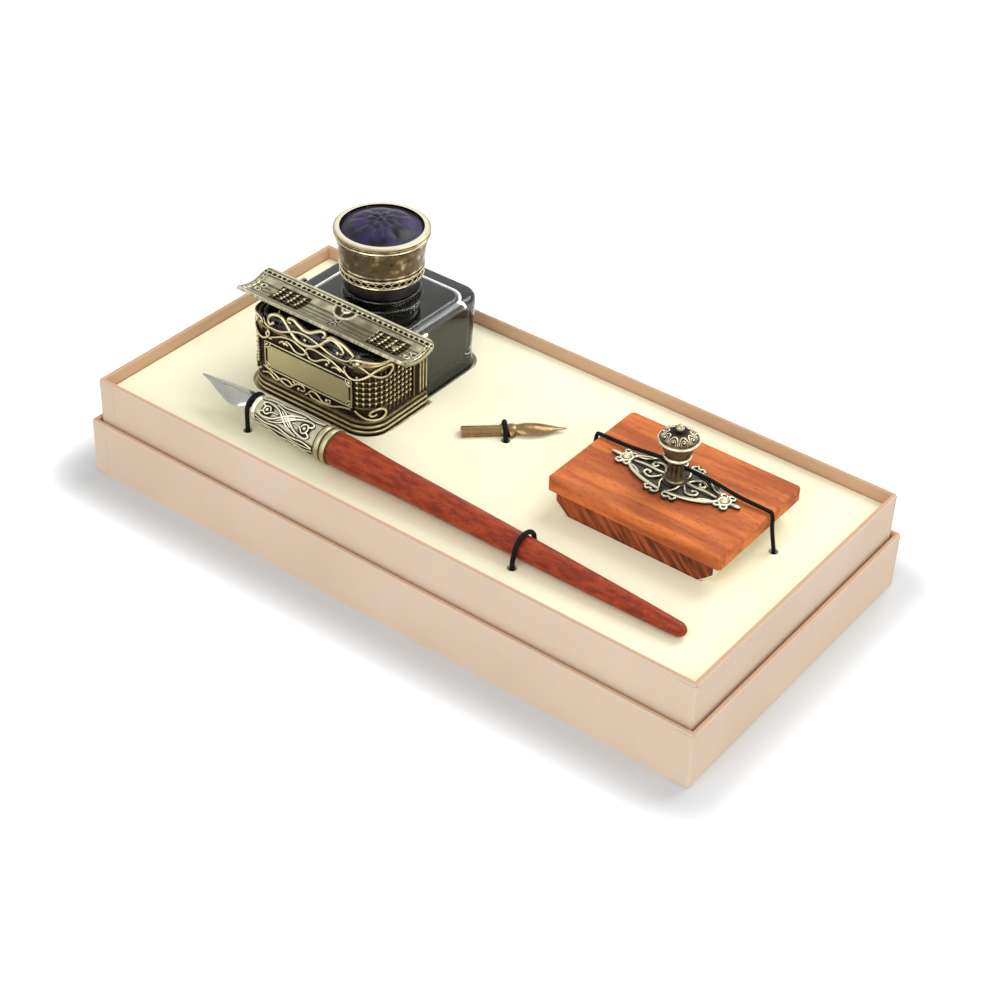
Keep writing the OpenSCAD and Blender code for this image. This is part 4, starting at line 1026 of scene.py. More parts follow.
@dataclass
class InkBottle:
    """Square glass bottle with its ink."""

    x: float = BOTTLE_X
    y: float = BOTTLE_Y
    width: float = 55.5
    depth: float = 65.5
    corner: float = 8.0
    edge: float = 2.4
    seat_z: float = SEAT_Z
    shoulder_z: float = 65.5
    wall: float = 4.0
    roof: float = 3.0
    floor: float = 6.0
    ink_corner: float = 7.0
    boss_wall: float = 2.0
    pocket: float = 0.55
    taper: float = 0.9
    neck_y: float = NECK_Y
    neck_r: float = 10.6
    bore_r: float = 8.5
    boss_r: float = 14.5
    boss_h: float = 4.4
    neck_top_z: float = 84.1
    wetting: float = 0.1

    def body_ring(self, inset: float, z: float, wall: float = 0.0) -> list[Point]:
        """Returns a ring of the body, in by the wall and then by the inset of a soft edge."""
        away = 2 * (wall + inset)
        radius = max((self.ink_corner if wall else self.corner) - inset, 0.6)
        return rounded_ring((self.x, self.y), self.width - away, self.depth - away, radius, z, 10, 40)

    def round_ring(self, radius: float, z: float) -> list[Point]:
        """Returns a ring round the neck with its points beside those of the body rings."""
        ring = []
        for px, py, _ in self.body_ring(0.0, 0.0):
            a = atan2(py - self.neck_y, px - self.x)
            ring.append((self.x + radius * cos(a), self.neck_y + radius * sin(a), z))
        return ring

    def soft_walls(self, low: float, high: float, wall: float) -> list[list[Point]]:
        """Returns the rings of the body between two heights with soft lower and upper edges."""
        angles = [radians(a) for a in (90, 67.5, 45, 22.5, 0)]
        rings = [self.body_ring(self.edge * (1 - cos(a)), low + self.edge * (1 - sin(a)), wall)
                 for a in angles]
        rings += [self.body_ring(self.edge * (1 - cos(a)), high - self.edge * (1 - sin(a)), wall)
                  for a in reversed(angles)]
        return rings

    def build(self, shop: Workshop) -> None:
        """Makes the glass and the ink."""
        rings = self.soft_walls(self.seat_z, self.shoulder_z, 0.0)
        waist = [self.body_ring(self.taper * share, self.seat_z + rise) for rise, share in
                 ((3.6, 0.15), (4.6, 0.6), (6.0, 0.95), (8.0, 1.0), (16.0, 0.7), (24.0, 0.3))]
        rings = rings[:5] + waist + rings[5:]
        rings += [self.round_ring(r, z) for r, z in self.neck_profile()]
        inside = self.soft_walls(self.seat_z + self.floor, self.shoulder_z - self.roof, self.wall)
        rings += list(reversed(inside))
        shop.place(Tag("ink_bottle", "bottle", Slot.GLASS, ("bottle_glass", "bottle_boss", "bottle_neck")),
                   Draft().closed(rings), 35.0)
        wet = self.wall - self.wetting
        low = self.seat_z + self.floor - self.wetting
        full, pocket = self.shoulder_z - self.roof + self.wetting, self.pocket
        fill = self.soft_walls(low, full - pocket, wet)
        fill += [self.body_ring(self.edge, full - pocket, wet), self.body_ring(self.edge + 0.2, full, wet)]
        full_r, full_z = self.boss_r - self.boss_wall, self.shoulder_z + self.boss_h - self.boss_wall
        fill += [self.round_ring(full_r + 0.6, full), self.round_ring(full_r + self.wetting, full + 0.5),
                 self.round_ring(full_r + self.wetting, full_z - 0.3), self.round_ring(full_r - 0.4, full_z)]
        shop.place(Tag("ink_fill", "bottle", Slot.INK, ("ink",)), Draft().closed(fill), 50.0)

    def neck_profile(self) -> list[Flat]:
        """Returns (radius, height) pairs up the neck with its threads and down the bore."""
        low, top = self.shoulder_z, self.shoulder_z + self.boss_h
        r, rim, hollow = self.neck_r, self.neck_top_z, self.boss_r - self.boss_wall
        up = [(self.boss_r + 1 - sin(a), low + 1 - cos(a)) for a in (radians(15 * k) for k in range(7))]
        up += [(self.boss_r - 0.8 + 0.8 * cos(a), top - 0.8 + 0.8 * sin(a))
               for a in (radians(18 * k) for k in range(6))]
        up += [(r + 0.5, top), (r, top + 0.6)]
        for drop in (7.0, 3.0):
            up += [(r, rim - drop - 0.6), (r + 0.2, rim - drop), (r, rim - drop + 0.6)]
        return up + [(r, rim - 0.5), (r - 0.5, rim), (self.bore_r + 0.5, rim), (self.bore_r, rim - 0.5),
                     (self.bore_r, top - 0.4), (hollow, top - 1.4), (hollow, low - self.roof + 0.6),
                     (hollow + 0.6, low - self.roof)]


# ---------- Cast surround ----------


@dataclass
class CastSurround:
    """Openwork metal surround that wraps the bottle's front and the start of its sides."""

    x: float = BOTTLE_X
    y: float = BOTTLE_Y
    half_w: float = 27.75
    half_d: float = 32.75
    corner: float = 8.0
    out: float = 1.6
    wall: float = 1.4
    foot_z: float = SEAT_Z
    panel_z: float = 62.3
    rim_z: float = 64.8
    crest_half: float = 21.5
    crest_h: float = 9.1
    reach_y: float = -2.75
    sunk: float = -0.6
    fine: float = 0.5
    field_z: float = 41.1
    levels: int = 12
    mesh_u: float = 23.0
    mesh_z: float = 43.5
    pitch: float = 2.2
    # Rows of (rise, share of reach, relief) for each foot moulding; the relief is painted light, bright where
    # it turns up.
    moulding_with_painted_light: tuple[Point, ...] = ((0.0, 0.5, 0.1), (0.15, 0.85, 0.25), (0.5, 1.0, 0.45), (0.85, 1.0, 0.95),
                                   (1.1, 0.95, 1.0), (1.3, 0.7, 0.5))

    @property
    def bend(self) -> float:
        """Distance from the middle of the front to where the corner starts."""
        return self.half_w - self.corner

    @property
    def end(self) -> float:
        """Distance from the middle of the front to the surround's end, along its face."""
        return self.bend + (self.corner + self.out) * pi / 2 + self.reach_y + self.half_d - self.corner

    def place(self, u: float, z: float, d: float) -> Point:
        """Returns the place of a point u along the face, at height z and d outside it."""
        s, sign = abs(u), 1 if u >= 0 else -1
        r = self.corner + self.out
        arc = r * pi / 2
        if s <= self.bend:
            x, y = s, -(self.half_d + self.out + d)
        elif s <= self.bend + arc:
            a = (s - self.bend) / r
            x = self.bend + (r + d) * sin(a)
            y = -(self.half_d - self.corner) - (r + d) * cos(a)
        else:
            x, y = self.half_w + self.out + d, -(self.half_d - self.corner) + s - self.bend - arc
        return (self.x + sign * x, self.y + y, z)

    def profile(self, u: float) -> list[Point]:
        """Returns (height, distance out, relief) up the outer face at u; on the mouldings the relief paints
        light on the parts that face up and shade on the upright parts.
        """
        front = abs(u) < self.crest_half
        rows = []
        for k in range(3):
            low, far = self.foot_z + 2.1 * k, 1.05 * (1 - k / 4)
            rows += [(low + rise, share * far, tone) for rise, share, tone in self.moulding_with_painted_light]
            rows += [(low + 1.45, 0.1, 0.0), (low + 1.95, 0.1, 0.0)]
        rib = self.ribs(u)
        floor, top, edge = (self.sunk, self.panel_z, 1.2) if front else (-0.3, self.rim_z, 4.2)
        # The band at 39.4-40.6 carries painted light in its relief values too.
        rows += [(z, max(least, rib), tone) for z, least, tone in
                 ((39.4, 0.1, 0.15), (40.0, 0.15, 0.6), (40.3, 0.15, 0.7), (40.6, 0.05, 0.25),
                  (self.field_z, floor, 0.1))]
        high = top - edge
        for i in range(1, self.levels):
            z = self.field_z + (high - self.field_z) * i / self.levels
            rows.append((z, max(floor, rib), max(0.1, min(1.0, 2.0 * rib))))
        if front:
            rows += [(high + rise, out, tone) for rise, out, tone in
                     ((0.0, self.sunk, 0.1), (0.3, self.sunk, 0.1), (0.5, self.sunk, 0.1), (0.7, -0.2, 0.4),
                      (0.9, -0.1, 0.6))]
            return rows + [(top - 0.1, -0.1, 0.8), (top, -0.3, 0.8)]
        rows += [(high, -0.3, 0.15), (high + 0.4, 0.0, 0.55)]
        return rows + [(top - fall, out, tone) for fall, out, tone in
                       ((1.7, 0.0, 0.55), (1.4, 0.1, 0.2), (1.2, 0.45, 0.9), (0.25, 0.5, 1.0),
                        (0.0, 0.2, 0.9))]

    def ribs(self, u: float) -> float:
        """Returns how far the upright ribs at the surround's ends stand out at u, or a low value."""
        best = -9.0
        for k in range(3):
            middle = self.end - 0.5 - 1.7 * k
            if abs(abs(u) - middle) <= 0.5:
                best = max(best, 0.45 * bump(abs(u) - middle, 0.62))
        return best

    def columns(self) -> list[float]:
        """Returns the stations along the face, closer together near the ends."""
        marks = [i * self.fine for i in range(int((self.end - 6.0) / self.fine) + 1)]
        marks += [self.crest_half - 0.01, self.crest_half + 0.01]
        marks += [self.end - 6.0 + 0.2 * i for i in range(1, 30)] + [self.end]
        marks = sorted({round(m, 3) for m in marks})
        return [-m for m in reversed(marks) if m > 0] + marks

    def build(self, shop: Workshop) -> None:
        """Makes the wall and all the cast ornament on it."""
        rows, relief = [], []
        for u in self.columns():
            outer = self.profile(u)
            top = outer[-1][0]
            loop = [self.place(u, z, d) for z, d, _ in outer]
            loop += [self.place(u, top, -self.wall), self.place(u, self.foot_z, -self.wall)]
            rows.append(loop)
            relief.append([r for _, _, r in outer] + [0.3, 0.0])
        shop.place(Tag("surround_wall", "bottle", Slot.GILT, ("bottle_surround",)),
                   Draft().closed(rows, relief, 0.5), 50.0)
        self.strands(shop)
        self.lattice(shop)
        self.beads(shop)
        shop.dress("name_plate", Slot.PLATE)

    def crest(self) -> list[tuple[list[Point], float]]:
        """Returns the routes of the openwork crest, which stands on the front panel."""
        shares = [
            [(-0.74, 0.38), (-0.84, 0.2), (-0.87, 0.42), (-0.8, 0.66), (-0.66, 0.79), (-0.53, 0.72),
             (-0.38, 0.32), (-0.26, 0.08), (-0.12, 0.0), (0.02, 0.02), (0.16, 0.15), (0.3, 0.38),
             (0.41, 0.64), (0.53, 0.82), (0.65, 0.76), (0.75, 0.6), (0.78, 0.46), (0.72, 0.34), (0.66, 0.4)],
            [(-0.97, 0.42), (-0.91, 0.14), (-0.74, 0.08), (-0.55, 0.14), (-0.33, 0.37), (-0.12, 0.49),
             (0.06, 0.46), (0.28, 0.32), (0.47, 0.17), (0.67, 0.12), (0.87, 0.19), (0.97, 0.42)],
            [(0.42, 0.75), (0.53, 0.92), (0.72, 0.85), (0.88, 0.7), (0.99, 0.52), (0.92, 0.24)],
            [(-0.35, 0.7), (-0.42, 0.74), (-0.4, 0.88), (-0.3, 0.92), (-0.2, 0.78), (-0.08, 0.66),
             (0.06, 0.68), (0.2, 0.86), (0.32, 1.0), (0.39, 0.93), (0.37, 0.78), (0.33, 0.73)],
        ]
        widths = (0.8, 0.55, 0.75, 0.8)
        lifts = (-0.7, -0.7 + 0.35, -0.7, -0.7)
        return [([(a * self.crest_half, self.panel_z + b * self.crest_h, lift) for a, b in route], half)
                for route, half, lift in zip(shares, widths, lifts)]

    def strands(self, shop: Workshop) -> None:
        """Makes the crest, the whiplash scrolls, the plate's border and the corner loops."""
        line = -0.25
        upper = [
            [(-21.7, 57.6), (-15.8, 59.7), (-11.9, 61.4), (-7.3, 62.0), (-4.3, 61.2), (-1.3, 60.1),
             (-0.9, 58.9), (-2.9, 57.8), (-5.9, 57.9), (-8.1, 59.7), (-10.0, 60.2), (-10.8, 59.1)],
            [(-0.9, 59.9), (0.3, 61.6), (3.3, 62.4), (7.0, 62.0), (10.8, 61.3), (14.4, 60.0), (17.4, 58.6),
             (20.4, 57.8)],
            [(-0.5, 60.1), (0.9, 57.9), (3.9, 57.9), (7.0, 59.7), (9.3, 60.6), (10.4, 60.0), (9.2, 58.8)],
            [(-17.5, 61.4), (-19.6, 60.2), (-18.8, 58.6), (-16.9, 58.5)],
            [(-13.4, 58.4), (-11.5, 59.6), (-9.2, 58.6)],
            [(11.5, 58.4), (13.6, 59.2), (15.8, 58.3)],
        ]
        lower = [
            [(-21.7, 45.3), (-18.8, 44.6), (-15.4, 43.2), (-12.0, 41.6), (-8.9, 41.3), (-6.5, 43.2),
             (-4.5, 44.3), (-2.6, 44.3), (-1.6, 43.2), (-2.6, 42.0), (-4.4, 42.2)],
            [(-22.5, 42.0), (-19.0, 43.2), (-15.6, 41.5), (-12.3, 43.3), (-9.6, 43.6), (-7.6, 42.5),
             (-6.4, 43.6), (-7.5, 44.4)],
            [(-1.6, 41.0), (-0.4, 42.0), (1.2, 43.7), (3.1, 44.0), (5.0, 43.1), (6.5, 41.8), (8.4, 41.6),
             (10.3, 42.5), (10.3, 43.6), (8.8, 43.3)],
            [(0.4, 42.4), (1.8, 41.3), (4.2, 41.0), (8.0, 41.0), (12.0, 41.9), (16.0, 43.4), (20.3, 44.2)],
        ]
        corner = [
            [(22.0, 44.6), (24.6, 42.6), (28.0, 41.2), (31.4, 41.2), (33.4, 42.6), (33.0, 44.6),
             (30.8, 45.6), (28.4, 45.0), (27.2, 43.6), (28.4, 42.8), (30.0, 43.4)],
            [(18.5, 62.2), (17.7, 60.9), (18.5, 59.1), (21.0, 57.9), (24.0, 58.4), (27.0, 60.0),
             (29.6, 62.0), (33.2, 63.0), (36.4, 62.0), (37.0, 60.0), (34.6, 58.6), (31.2, 58.9),
             (27.8, 60.6), (25.2, 62.9), (22.8, 64.4)],
            [(20.6, 64.3), (21.6, 66.0), (24.4, 66.2), (29.0, 65.2), (36.0, 64.6), (46.0, 64.7)],
        ]
        routes = self.crest()
        routes += [([(x, z, line) for x, z in route], 0.5) for route in upper + lower]
        for sign in (-1, 1):
            routes += [([(sign * x, z, 0.25) for x, z in route], 0.6) for route in corner]
            routes.append(([(sign * 20.5, z, line) for z in (45.0, 48.0, 52.0, 56.6)], 0.45))
        for sign in (-1, 1):
            for z, up in ((45.1, 1), (56.4, -1)):
                routes.append(([(sign * 17.9, z, line), (sign * 18.1, z + 1.3 * up, line + 0.1),
                                (sign * 19.2, z + 2.3 * up, line + 0.1),
                                (sign * 20.4, z + 2.5 * up, line)], 0.42))
                routes.append(([(sign * 18.9, z + 0.6 * up, line), (sign * 19.5, z + 1.0 * up, line + 0.1),
                                (sign * 20.0, z + 1.6 * up, line)], 0.6))
        routes += [([(x, z, line) for x in (-20.6, -10.0, 0.0, 10.0, 20.6)], 0.42) for z in (45.1, 56.4)]
        shop.strands(Tag("surround_strands", "bottle", Slot.GILT), routes, self.place, taper=0.3)

    def lattice(self, shop: Workshop) -> None:
        """Makes the thin woven bars on the corners and sides."""
        routes = []
        for sign in (-1, 1):
            for i in range(12):
                u = self.mesh_u + self.pitch * i
                top = 57.0 if u < 27.0 else 60.4
                low = 45.0 if u < 34.0 else 42.4
                if sign > 0 or i > 1:
                    routes.append(([(sign * u, z, -0.2) for z in (low, 49.0, 53.0, top)], 0.3))
            for j in range(8):
                z = self.mesh_z + self.pitch * j
                first = 22.0 if sign > 0 else 26.0
                if 45.0 < z < 58.5:
                    routes.append(([(sign * u, z, -0.2) for u in (first, 30.0, 36.0, 42.0, 48.0)], 0.3))
            routes.append(([(sign * 49.4, z, 0.0) for z in (42.0, 46.0, 52.0, 58.0, 60.6)], 0.45))
            routes.append(([(sign * u, 61.0, 0.0) for u in (38.0, 42.0, 46.0, 49.6)], 0.4))
        shop.strands(Tag("surround_lattice", "bottle", Slot.GILT), routes, self.place, sides=6,
                     relief=0.55, steps=3)

    def beads(self, shop: Workshop) -> None:
        """Makes the beads at the lattice's crossings and on the scrolls, and the rope at the left."""
        spots = []
        for sign in (-1, 1):
            for i in range(12):
                for j in range(8):
                    u, z = self.mesh_u + self.pitch * i, self.mesh_z + self.pitch * j
                    hidden = (24.0 < u < 39.0 and z > 57.4) or (u < 35.0 and z < 46.6)
                    if 45.0 < z < 60.0 and not hidden and (sign > 0 or i > 1):
                        spots.append((sign * u, z, -0.02, 0.66))
            spots.append((sign * 23.4, 65.0, 0.2, 1.25))
            spots.append((sign * 43.6, 62.6, 0.1, 0.7))
        spots += [(x, z, -0.2, 0.85) for x, z in ((-15.9, 65.8), (14.5, 65.8), (-10.8, 59.1), (9.3, 58.8),
                                                  (8.9, 43.2), (-4.4, 42.3))]
        spots += [(-24.3, 46.4 + 1.35 * k, 0.0, 0.95) for k in range(9)]
        spots += [(-1.0, 64.6, -0.4, 0.8), (0.2, 59.2, -0.2, 0.6)]
        shop.beads(Tag("surround_beads", "bottle", Slot.GILT), spots, self.place)


# ---------- Pen rest ----------


@dataclass
class PenRest:
    """Curved trough across the bottle, with pierced-look ornament in its hollow."""

    x: float = BOTTLE_X
    y: float = -9.05
    axis_z: float = 82.5
    hollow_r: float = 15.5
    thick: float = 1.2
    length: float = 80.4
    width: float = 17.6
    corner: float = 3.0
    lattices: Flat = (-21.2, 25.0)
    spacing: Flat = (3.4, 1.7)
    steps_across: int = 84
    steps_along: int = 220

    def place(self, x: float, v: float, h: float) -> Point:
        """Returns the place of a point x along, v across and h above the hollow."""
        a = asin(clamp(v / self.hollow_r, -1.0, 1.0))
        r = self.hollow_r - h
        return (self.x + x, self.y + r * sin(a), self.axis_z - r * cos(a))

    def half_at(self, v: float) -> float:
        """Returns half of the length at a place across the trough, with its round corners."""
        over = max(0.0, abs(v) - (self.width / 2 - self.corner))
        return self.length / 2 - self.corner + sqrt(max(0.0, self.corner ** 2 - over ** 2))

    def ornament(self, x: float, v: float) -> tuple[float, float]:
        """Returns (height, relief) of the cast ornament at a point of the hollow."""
        reach, side = self.length / 2, self.width / 2
        edge = min(reach - abs(x), side - abs(v))
        if v < 1.0 - side:
            return (0.0, 0.8)
        if v < 1.4 - side:
            return (-0.2, 0.1)
        if edge < 0.6:
            return (0.0, 0.9)
        if v > 6.2 or abs(x) > reach - 2.9:
            along = x if v > 6.2 else v
            inner = v - 6.2 if v > 6.2 else abs(x) - reach + 2.9
            if inner < 0.5 or 1.25 < inner < 1.7:
                return (0.0, 0.9)
            if inner >= 1.7:
                return (-0.2, 0.3)
            dash = abs((along / 2.4) % 1.0 - 0.5)
            return (-0.1, 0.75) if dash > 0.36 else (-0.5, 0.0)
        ring = hypot(x - 0.7, v - 7.0)
        if abs(ring - 5.0) < 0.5 or abs(ring - 1.9) < 0.4:
            return (0.05, 1.0)
        if ring < 5.0:
            spoke = abs(sin(2 * atan2(v - 7.0, x - 0.7)))
            return (-0.05, 0.8) if spoke < 0.12 else (-0.45, 0.15)
        for middle in self.lattices:
            if abs(x - middle) < 7.2 and -4.4 < v < 4.6:
                return (-0.5, 0.05)
        for cx, cv in ((1.7, 0.6), (1.8, -2.7), (-35.0, -2.1), (-34.6, 0.9), (36.6, 0.5), (35.4, -2.2)):
            around = hypot(x - cx, v - cv)
            if around < 1.7:
                return (-0.05, 0.9) if abs(around - 1.1) < 0.3 else (-0.4, 0.1)
        if 3.0 < v < 5.4:
            inside = 0.5 + 0.5 * sin(2 * pi * x / 7.1)
            return (-0.2, 0.6 + 0.18 * inside)
        line = abs((v + 7.0) % 2.1 - 1.05)
        fine = abs((v + 7.6) % 2.1 - 1.05)
        if line < 0.17 or fine < 0.12:
            return (-0.42, 0.08)
        return (-0.2, 0.62)

    def build(self, shop: Workshop) -> None:
        """Makes the trough and the beaded lattices in it, and dresses its posts and rivets."""
        rows, relief = [], []
        across, along, edge = self.steps_across, self.steps_along, self.width / 2
        for i in range(across + 1):
            v = -edge + 2 * edge * i / across
            half = self.half_at(v)
            row, lift = [], []
            for k in range(along + 1):
                x = -half + 2 * half * k / along
                h, r = self.ornament(x, v)
                row.append(self.place(x, v, h))
                lift.append(r)
            under = [self.place(half - 2 * half * k / along, v, -self.thick) for k in range(along + 1)]
            rows.append(row + under)
            relief.append(lift + [0.4] * len(under))
        gilt = CastMetal("pen rest gilt", srgb(50, 44, 32), srgb(152, 147, 118), srgb(222, 215, 184),
                         0.0, 0.45)
        shop.place(Tag("pen_rest_trough", "bottle", Slot.GILT, ("pen_rest",), gilt),
                   Draft().closed(rows, relief, 0.8), 60.0)
        spots, bars = [], []
        lines = [2.6 - self.spacing[1] * j for j in range(4)]
        for middle in self.lattices:
            for i in range(4):
                x = middle + self.spacing[0] * (i - 1.5)
                bars.append(([(x, v, -0.25) for v in (-4.2, -1.5, 1.5, 4.4)], 0.26))
                spots += [(x, v, -0.08, 0.82) for v in lines]
            bars += [([(middle + x, v, -0.3) for x in (-7.0, -3.0, 3.0, 7.0)], 0.22) for v in lines]
        shop.strands(Tag("pen_rest_bars", "bottle", Slot.GILT), bars, self.place, sides=6, relief=0.7,
                     steps=3)
        shop.beads(Tag("pen_rest_beads", "bottle", Slot.GILT), spots, self.place)
        worn = CastMetal("worn gilt", lift=0.7)
        for node in ("rest_posts", "rest_rivets"):
            shop.dress(node, worn)


# ---------- Screw cap ----------


@dataclass
class ScrewCap:
    """Plastic screw cap in a cast shell, with a domed violet stone on top."""

    x: float = BOTTLE_X
    y: float = NECK_Y
    foot_z: float = 75.2
    foot_r: float = 15.7
    rim_r: float = 17.8
    top_z: float = 93.0
    seat_r: float = 15.4
    deck_z: float = 90.0
    liner_r: float = 14.3
    stone_r: float = 15.2
    stone_h: float = 6.2
    girdle: float = 2.6
    holes: int = 34
    leaves: int = 8
    carve: float = 0.55
    sides: int = 144
    stone_sides: int = 160
    stone_rings: int = 46

    def shell_profile(self) -> list[Point]:
        """Returns (height, radius, relief) up the outside of the shell."""
        def raised(radius: float, rows: Sequence[tuple[float, float, float]]) -> list[Point]:
            """Returns rows of (rise, step, relief) from the foot and from a radius."""
            return [(self.foot_z + rise, radius + step, tone) for rise, step, tone in rows]

        low = raised(self.foot_r, [
            (0.0, -0.7, 0.2), (0.25, -0.35, 0.8), (0.6, -0.2, 1.0), (0.95, -0.4, 0.5), (1.1, -0.6, 0.0),
            (1.6, -0.65, 0.0), (2.9, -0.55, 0.0), (3.1, -0.25, 0.6), (3.5, 0.0, 1.0), (3.9, -0.15, 0.6),
            (4.1, -0.35, 0.1), (4.4, -0.35, 0.1), (4.7, -0.1, 0.8), (5.1, -0.05, 0.7)])
        rise = raised(self.foot_r, [(5.4, -0.25, 0.45), (8.4, 0.1, 0.5), (12.0, 0.7, 0.5)])
        rise = smooth_route(rise + raised(self.rim_r, [(15.0, -0.8, 0.5)]), 8)
        high = raised(self.rim_r, [
            (15.3, -0.9, 0.1), (15.6, -0.9, 0.0), (15.75, -0.35, 0.8), (16.1, -0.1, 1.0), (16.5, -0.3, 0.8),
            (16.7, -0.8, 0.0), (16.9, -0.8, 0.0), (17.1, -0.15, 0.9)])
        return low + rise + high + [(self.top_z - 0.3, self.rim_r - 0.05, 0.7),
                                    (self.top_z, self.rim_r - 0.1, 0.1)]

    def dome(self, radius: float) -> float:
        """Returns the height of the plain dome at a distance from the axis."""
        crown = self.stone_h - self.girdle
        ball = (self.stone_r ** 2 + crown ** 2) / (2 * crown)
        return self.deck_z + self.stone_h - ball + sqrt(ball ** 2 - radius ** 2)

    def rosette(self, radius: float, angle: float) -> float:
        """Returns the carved height of the leaf rosette at a point of the stone."""
        share = radius / self.stone_r
        petals = abs(cos(self.leaves / 2 * angle)) ** 0.6
        turned_petals = abs(sin(self.leaves / 2 * angle)) ** 0.7
        outer = bump(share - 0.56, 0.26) * petals
        vein = 0.35 * bump(sin(self.leaves / 2 * angle), 0.12) * bump(share - 0.56, 0.22)
        inner = 0.9 * bump(share - 0.26, 0.17) * turned_petals
        boss = 1.1 * bump(share, 0.12)
        return self.carve * (max(outer - vein, inner, boss) - 0.25 * bump(share - 0.86, 0.06))

    def build(self, shop: Workshop) -> None:
        """Makes the shell, its pierced row and the stone, and dresses the rest."""
        axis, sides = upright(self.x, self.y), self.sides
        outer = self.shell_profile()
        deck, liner = self.deck_z, self.liner_r
        loop = [(z, r) for z, r, _ in outer]
        loop += [(self.top_z, self.seat_r), (deck, self.seat_r), (deck, liner - 0.6),
                 (deck - 1.8, liner - 0.6), (deck - 1.8, liner), (self.foot_z, liner),
                 (self.foot_z, self.foot_r - 0.7)]
        relief = [r for _, _, r in outer] + [0.6, 0.1, 0.1, 0.1, 0.1, 0.1, 0.2]
        draft = Draft()
        draft.grid(turned(loop, axis, sides), [[r] * sides for r in relief], wrap=True)
        gilt = CastMetal("mottled gilt shell", srgb(40, 33, 22), srgb(116, 101, 76), srgb(222, 208, 170),
                         0.03, 1.4)
        shop.place(Tag("cap_shell_cast", "cap", Slot.GILT, ("cap_shell",), gilt), draft, 50.0)
        step = 2 * pi / self.holes
        waves = [([(self.foot_z + 2.1 + 0.95 * sin(t), step * (k + 0.5 * cos(t)), self.foot_r - 0.38)
                   for t in (2 * pi * i / 8 for i in range(9))], 0.24) for k in range(self.holes)]
        shop.strands(Tag("cap_shell_scallops", "cap", Slot.GILT), waves, axis, sides=6, steps=2)
        shop.place(Tag("cap_stone", "cap", Slot.STONE, ("cap_cabochon",)), self.stone(axis), 60.0)
        across = self.rim_r - self.seat_r
        rise = 0.3 * across
        # Painted light: the relief falls as the ring turns from its top to its outer side, so the top reads
        # bright and the rounding dark.
        turns = [(a, clamp(1.3 - a / 75.0)) for a in range(0, 91, 9)]
        ring = [(self.top_z + rise * cos(radians(a)), self.seat_r + across * sin(radians(a)))
                for a, _ in turns]
        bezel = Draft()
        bezel.grid(turned(ring + [(self.top_z, self.rim_r), (self.top_z, self.seat_r)], axis, sides),
                   [[tone] * sides for _, tone in turns] + [[0.1] * sides, [0.1] * sides], wrap=True)
        silver = CastMetal("bezel silver gilt", srgb(52, 44, 28), srgb(176, 164, 126), srgb(240, 233, 208),
                           0.0, 0.3)
        shop.place(Tag("cap_bezel_ring", "cap", Slot.SILVER, ("cap_bezel",), silver), bezel, 60.0)
        shop.dress("cap_liner", Slot.PLASTIC)
        shop.dress("cap_seal", Slot.FOAM)

    def stone(self, axis: Placing) -> Draft:
        """Returns the draft of the domed stone with its carved leaf rosette."""
        turns = [2 * pi * k / self.stone_sides for k in range(self.stone_sides)]
        rows = [[axis(self.deck_z, a, self.stone_r) for a in turns]]
        for i in range(self.stone_rings):
            radius = self.stone_r * (1 - i / self.stone_rings) * 0.998
            rows.append([axis(self.dome(radius) + self.rosette(radius, a), a, radius) for a in turns])
        return Draft().closed(rows)


# ---------- Dip pen ----------


